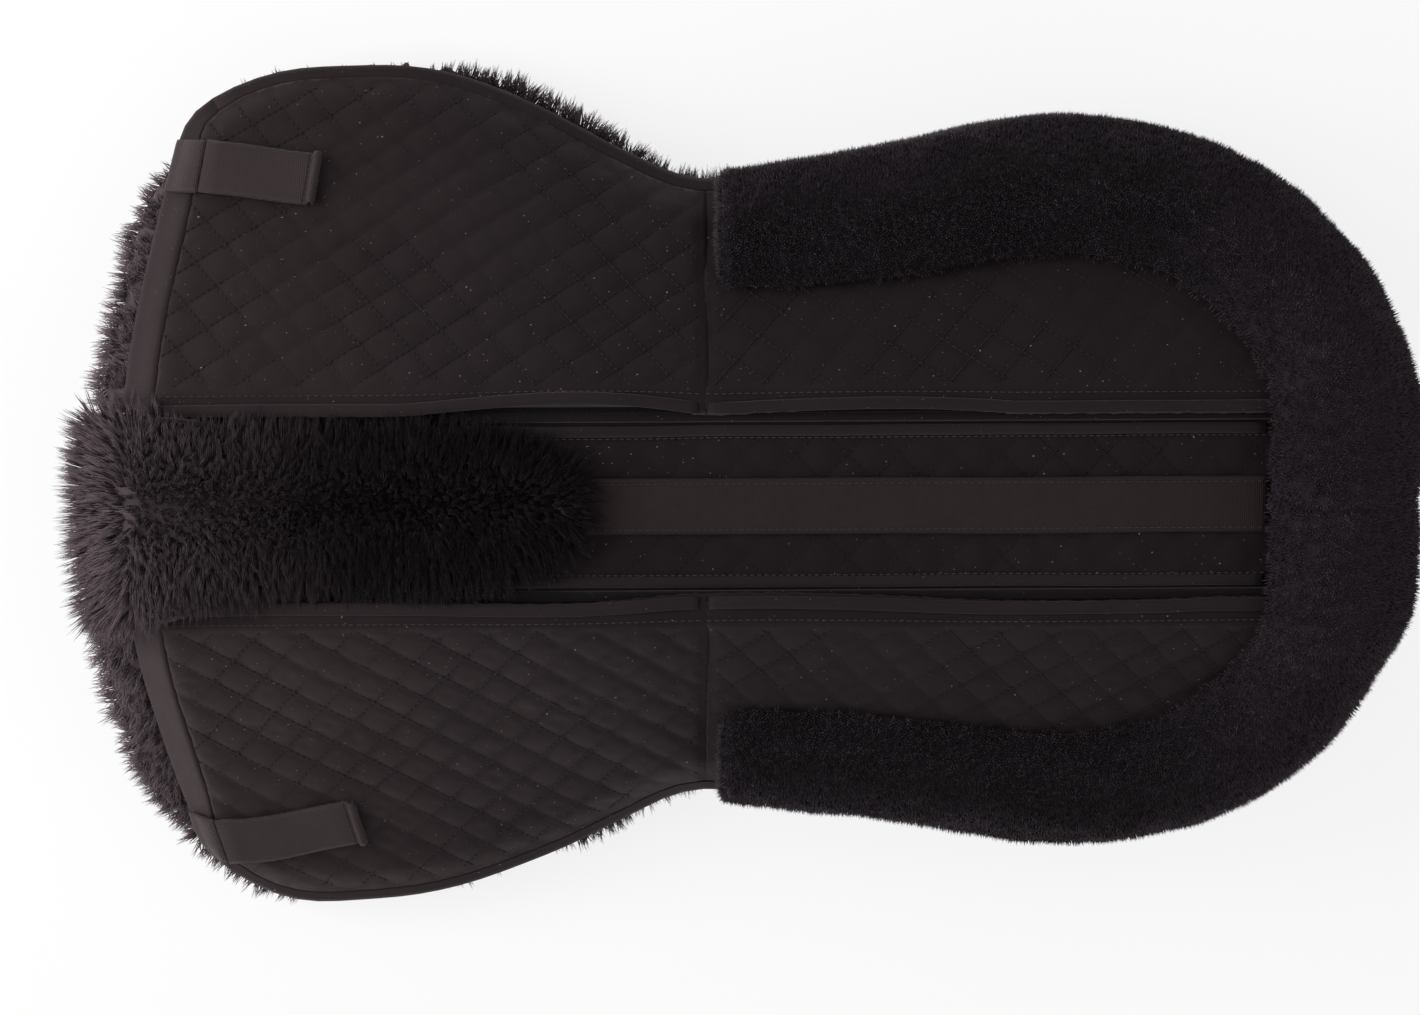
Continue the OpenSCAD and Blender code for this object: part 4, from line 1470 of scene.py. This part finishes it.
for label, side in SIDES.items():
    strap(label, side)
    strap_anchor(label, side)
    strap_patches(label, side)
    for node, slot in (("loop_tapes", "hook_and_loop"), ("hook_tapes", "hook_and_loop"),
                       ("front_insert", "insert_foam"), ("rear_insert", "insert_foam")):
        dress(frame["nodes"][f"{label}_{node}"], slot)

# ---------- floor, light and camera ----------


def seen_apart(owner, end, others, seen, share):
    """Gives a material or world one shader for the camera, by a share, and one for other rays."""
    owner.use_nodes = True
    nodes = Nodes(owner.node_tree)
    camera_ray = nodes.node("ShaderNodeLightPath", out="Is Camera Ray")
    nodes.feed(owner.node_tree.nodes[end].inputs["Surface"], nodes.node(
        "ShaderNodeMixShader", None,
        {0: camera_ray * share, 1: nodes.node(*others), 2: nodes.node(*seen)}))


def floor():
    """White ground, a little brighter to the camera."""
    material = bpy.data.materials.new("floor_white")
    seen_apart(material, "Material Output",
               ("ShaderNodeBsdfDiffuse", None, {"Color": rgb(0.86, 0.86, 0.86)}),
               ("ShaderNodeEmission", None, {"Color": rgb(1, 1, 1)}), 0.8)
    s = 6.0
    plane = add_mesh("floor", [(-s, -s, 0), (s, -s, 0), (s, s, 0), (-s, s, 0)], [(0, 1, 2, 3)])
    plane.data.materials.append(material)


def lamp(name, place, aim, size, power):
    light = bpy.data.lights.new(name, "AREA")
    light.size, light.energy = size, power
    hung = add_object(name, light)
    hung.location = place
    hung.rotation_euler = (Vector(aim) - Vector(place)).to_track_quat("-Z", "Y").to_euler()


def studio():
    """A pale surround and three soft lamps."""
    scene.world = bpy.data.worlds.new("studio")
    seen_apart(scene.world, "World Output",
               ("ShaderNodeBackground", None, {"Color": rgb(1, 1, 1), "Strength": 0.55}),
               ("ShaderNodeBackground", None, {"Color": rgb(0.8, 0.8, 0.8), "Strength": 1.0}), 1)
    lamp("key", (-1.0, 0.24, 1.0), (-0.1, 0, 0.08), 0.9, 9)
    lamp("fill", (0.7, -0.4, 1.3), (0, 0, 0.08), 1.2, 2.5)
    lamp("side", (-1.25, 0.13, 0.45), (-0.2, 0, 0.1), 0.6, 6)


def camera():
    """A long lens, looking almost straight down on the pad."""
    data = bpy.data.cameras.new("camera")
    data.sensor_width, data.lens, data.clip_end = 36, 75.9, 50
    aim = Vector((-0.0141, -0.0065, 0.077))
    back = Vector((math.tan(math.radians(-0.5)), math.tan(math.radians(6.8)), 1)).normalized()
    across = Vector((math.sin(math.radians(0.25)), 1, 0)).cross(back).normalized()
    eye = add_object("camera", data)
    eye.location = aim + 1.383 * back
    eye.rotation_euler = Matrix((across, back.cross(across), back)).transposed().to_euler()
    scene.camera = eye


floor()
studio()
camera()
scene.view_settings.view_transform = "Standard"
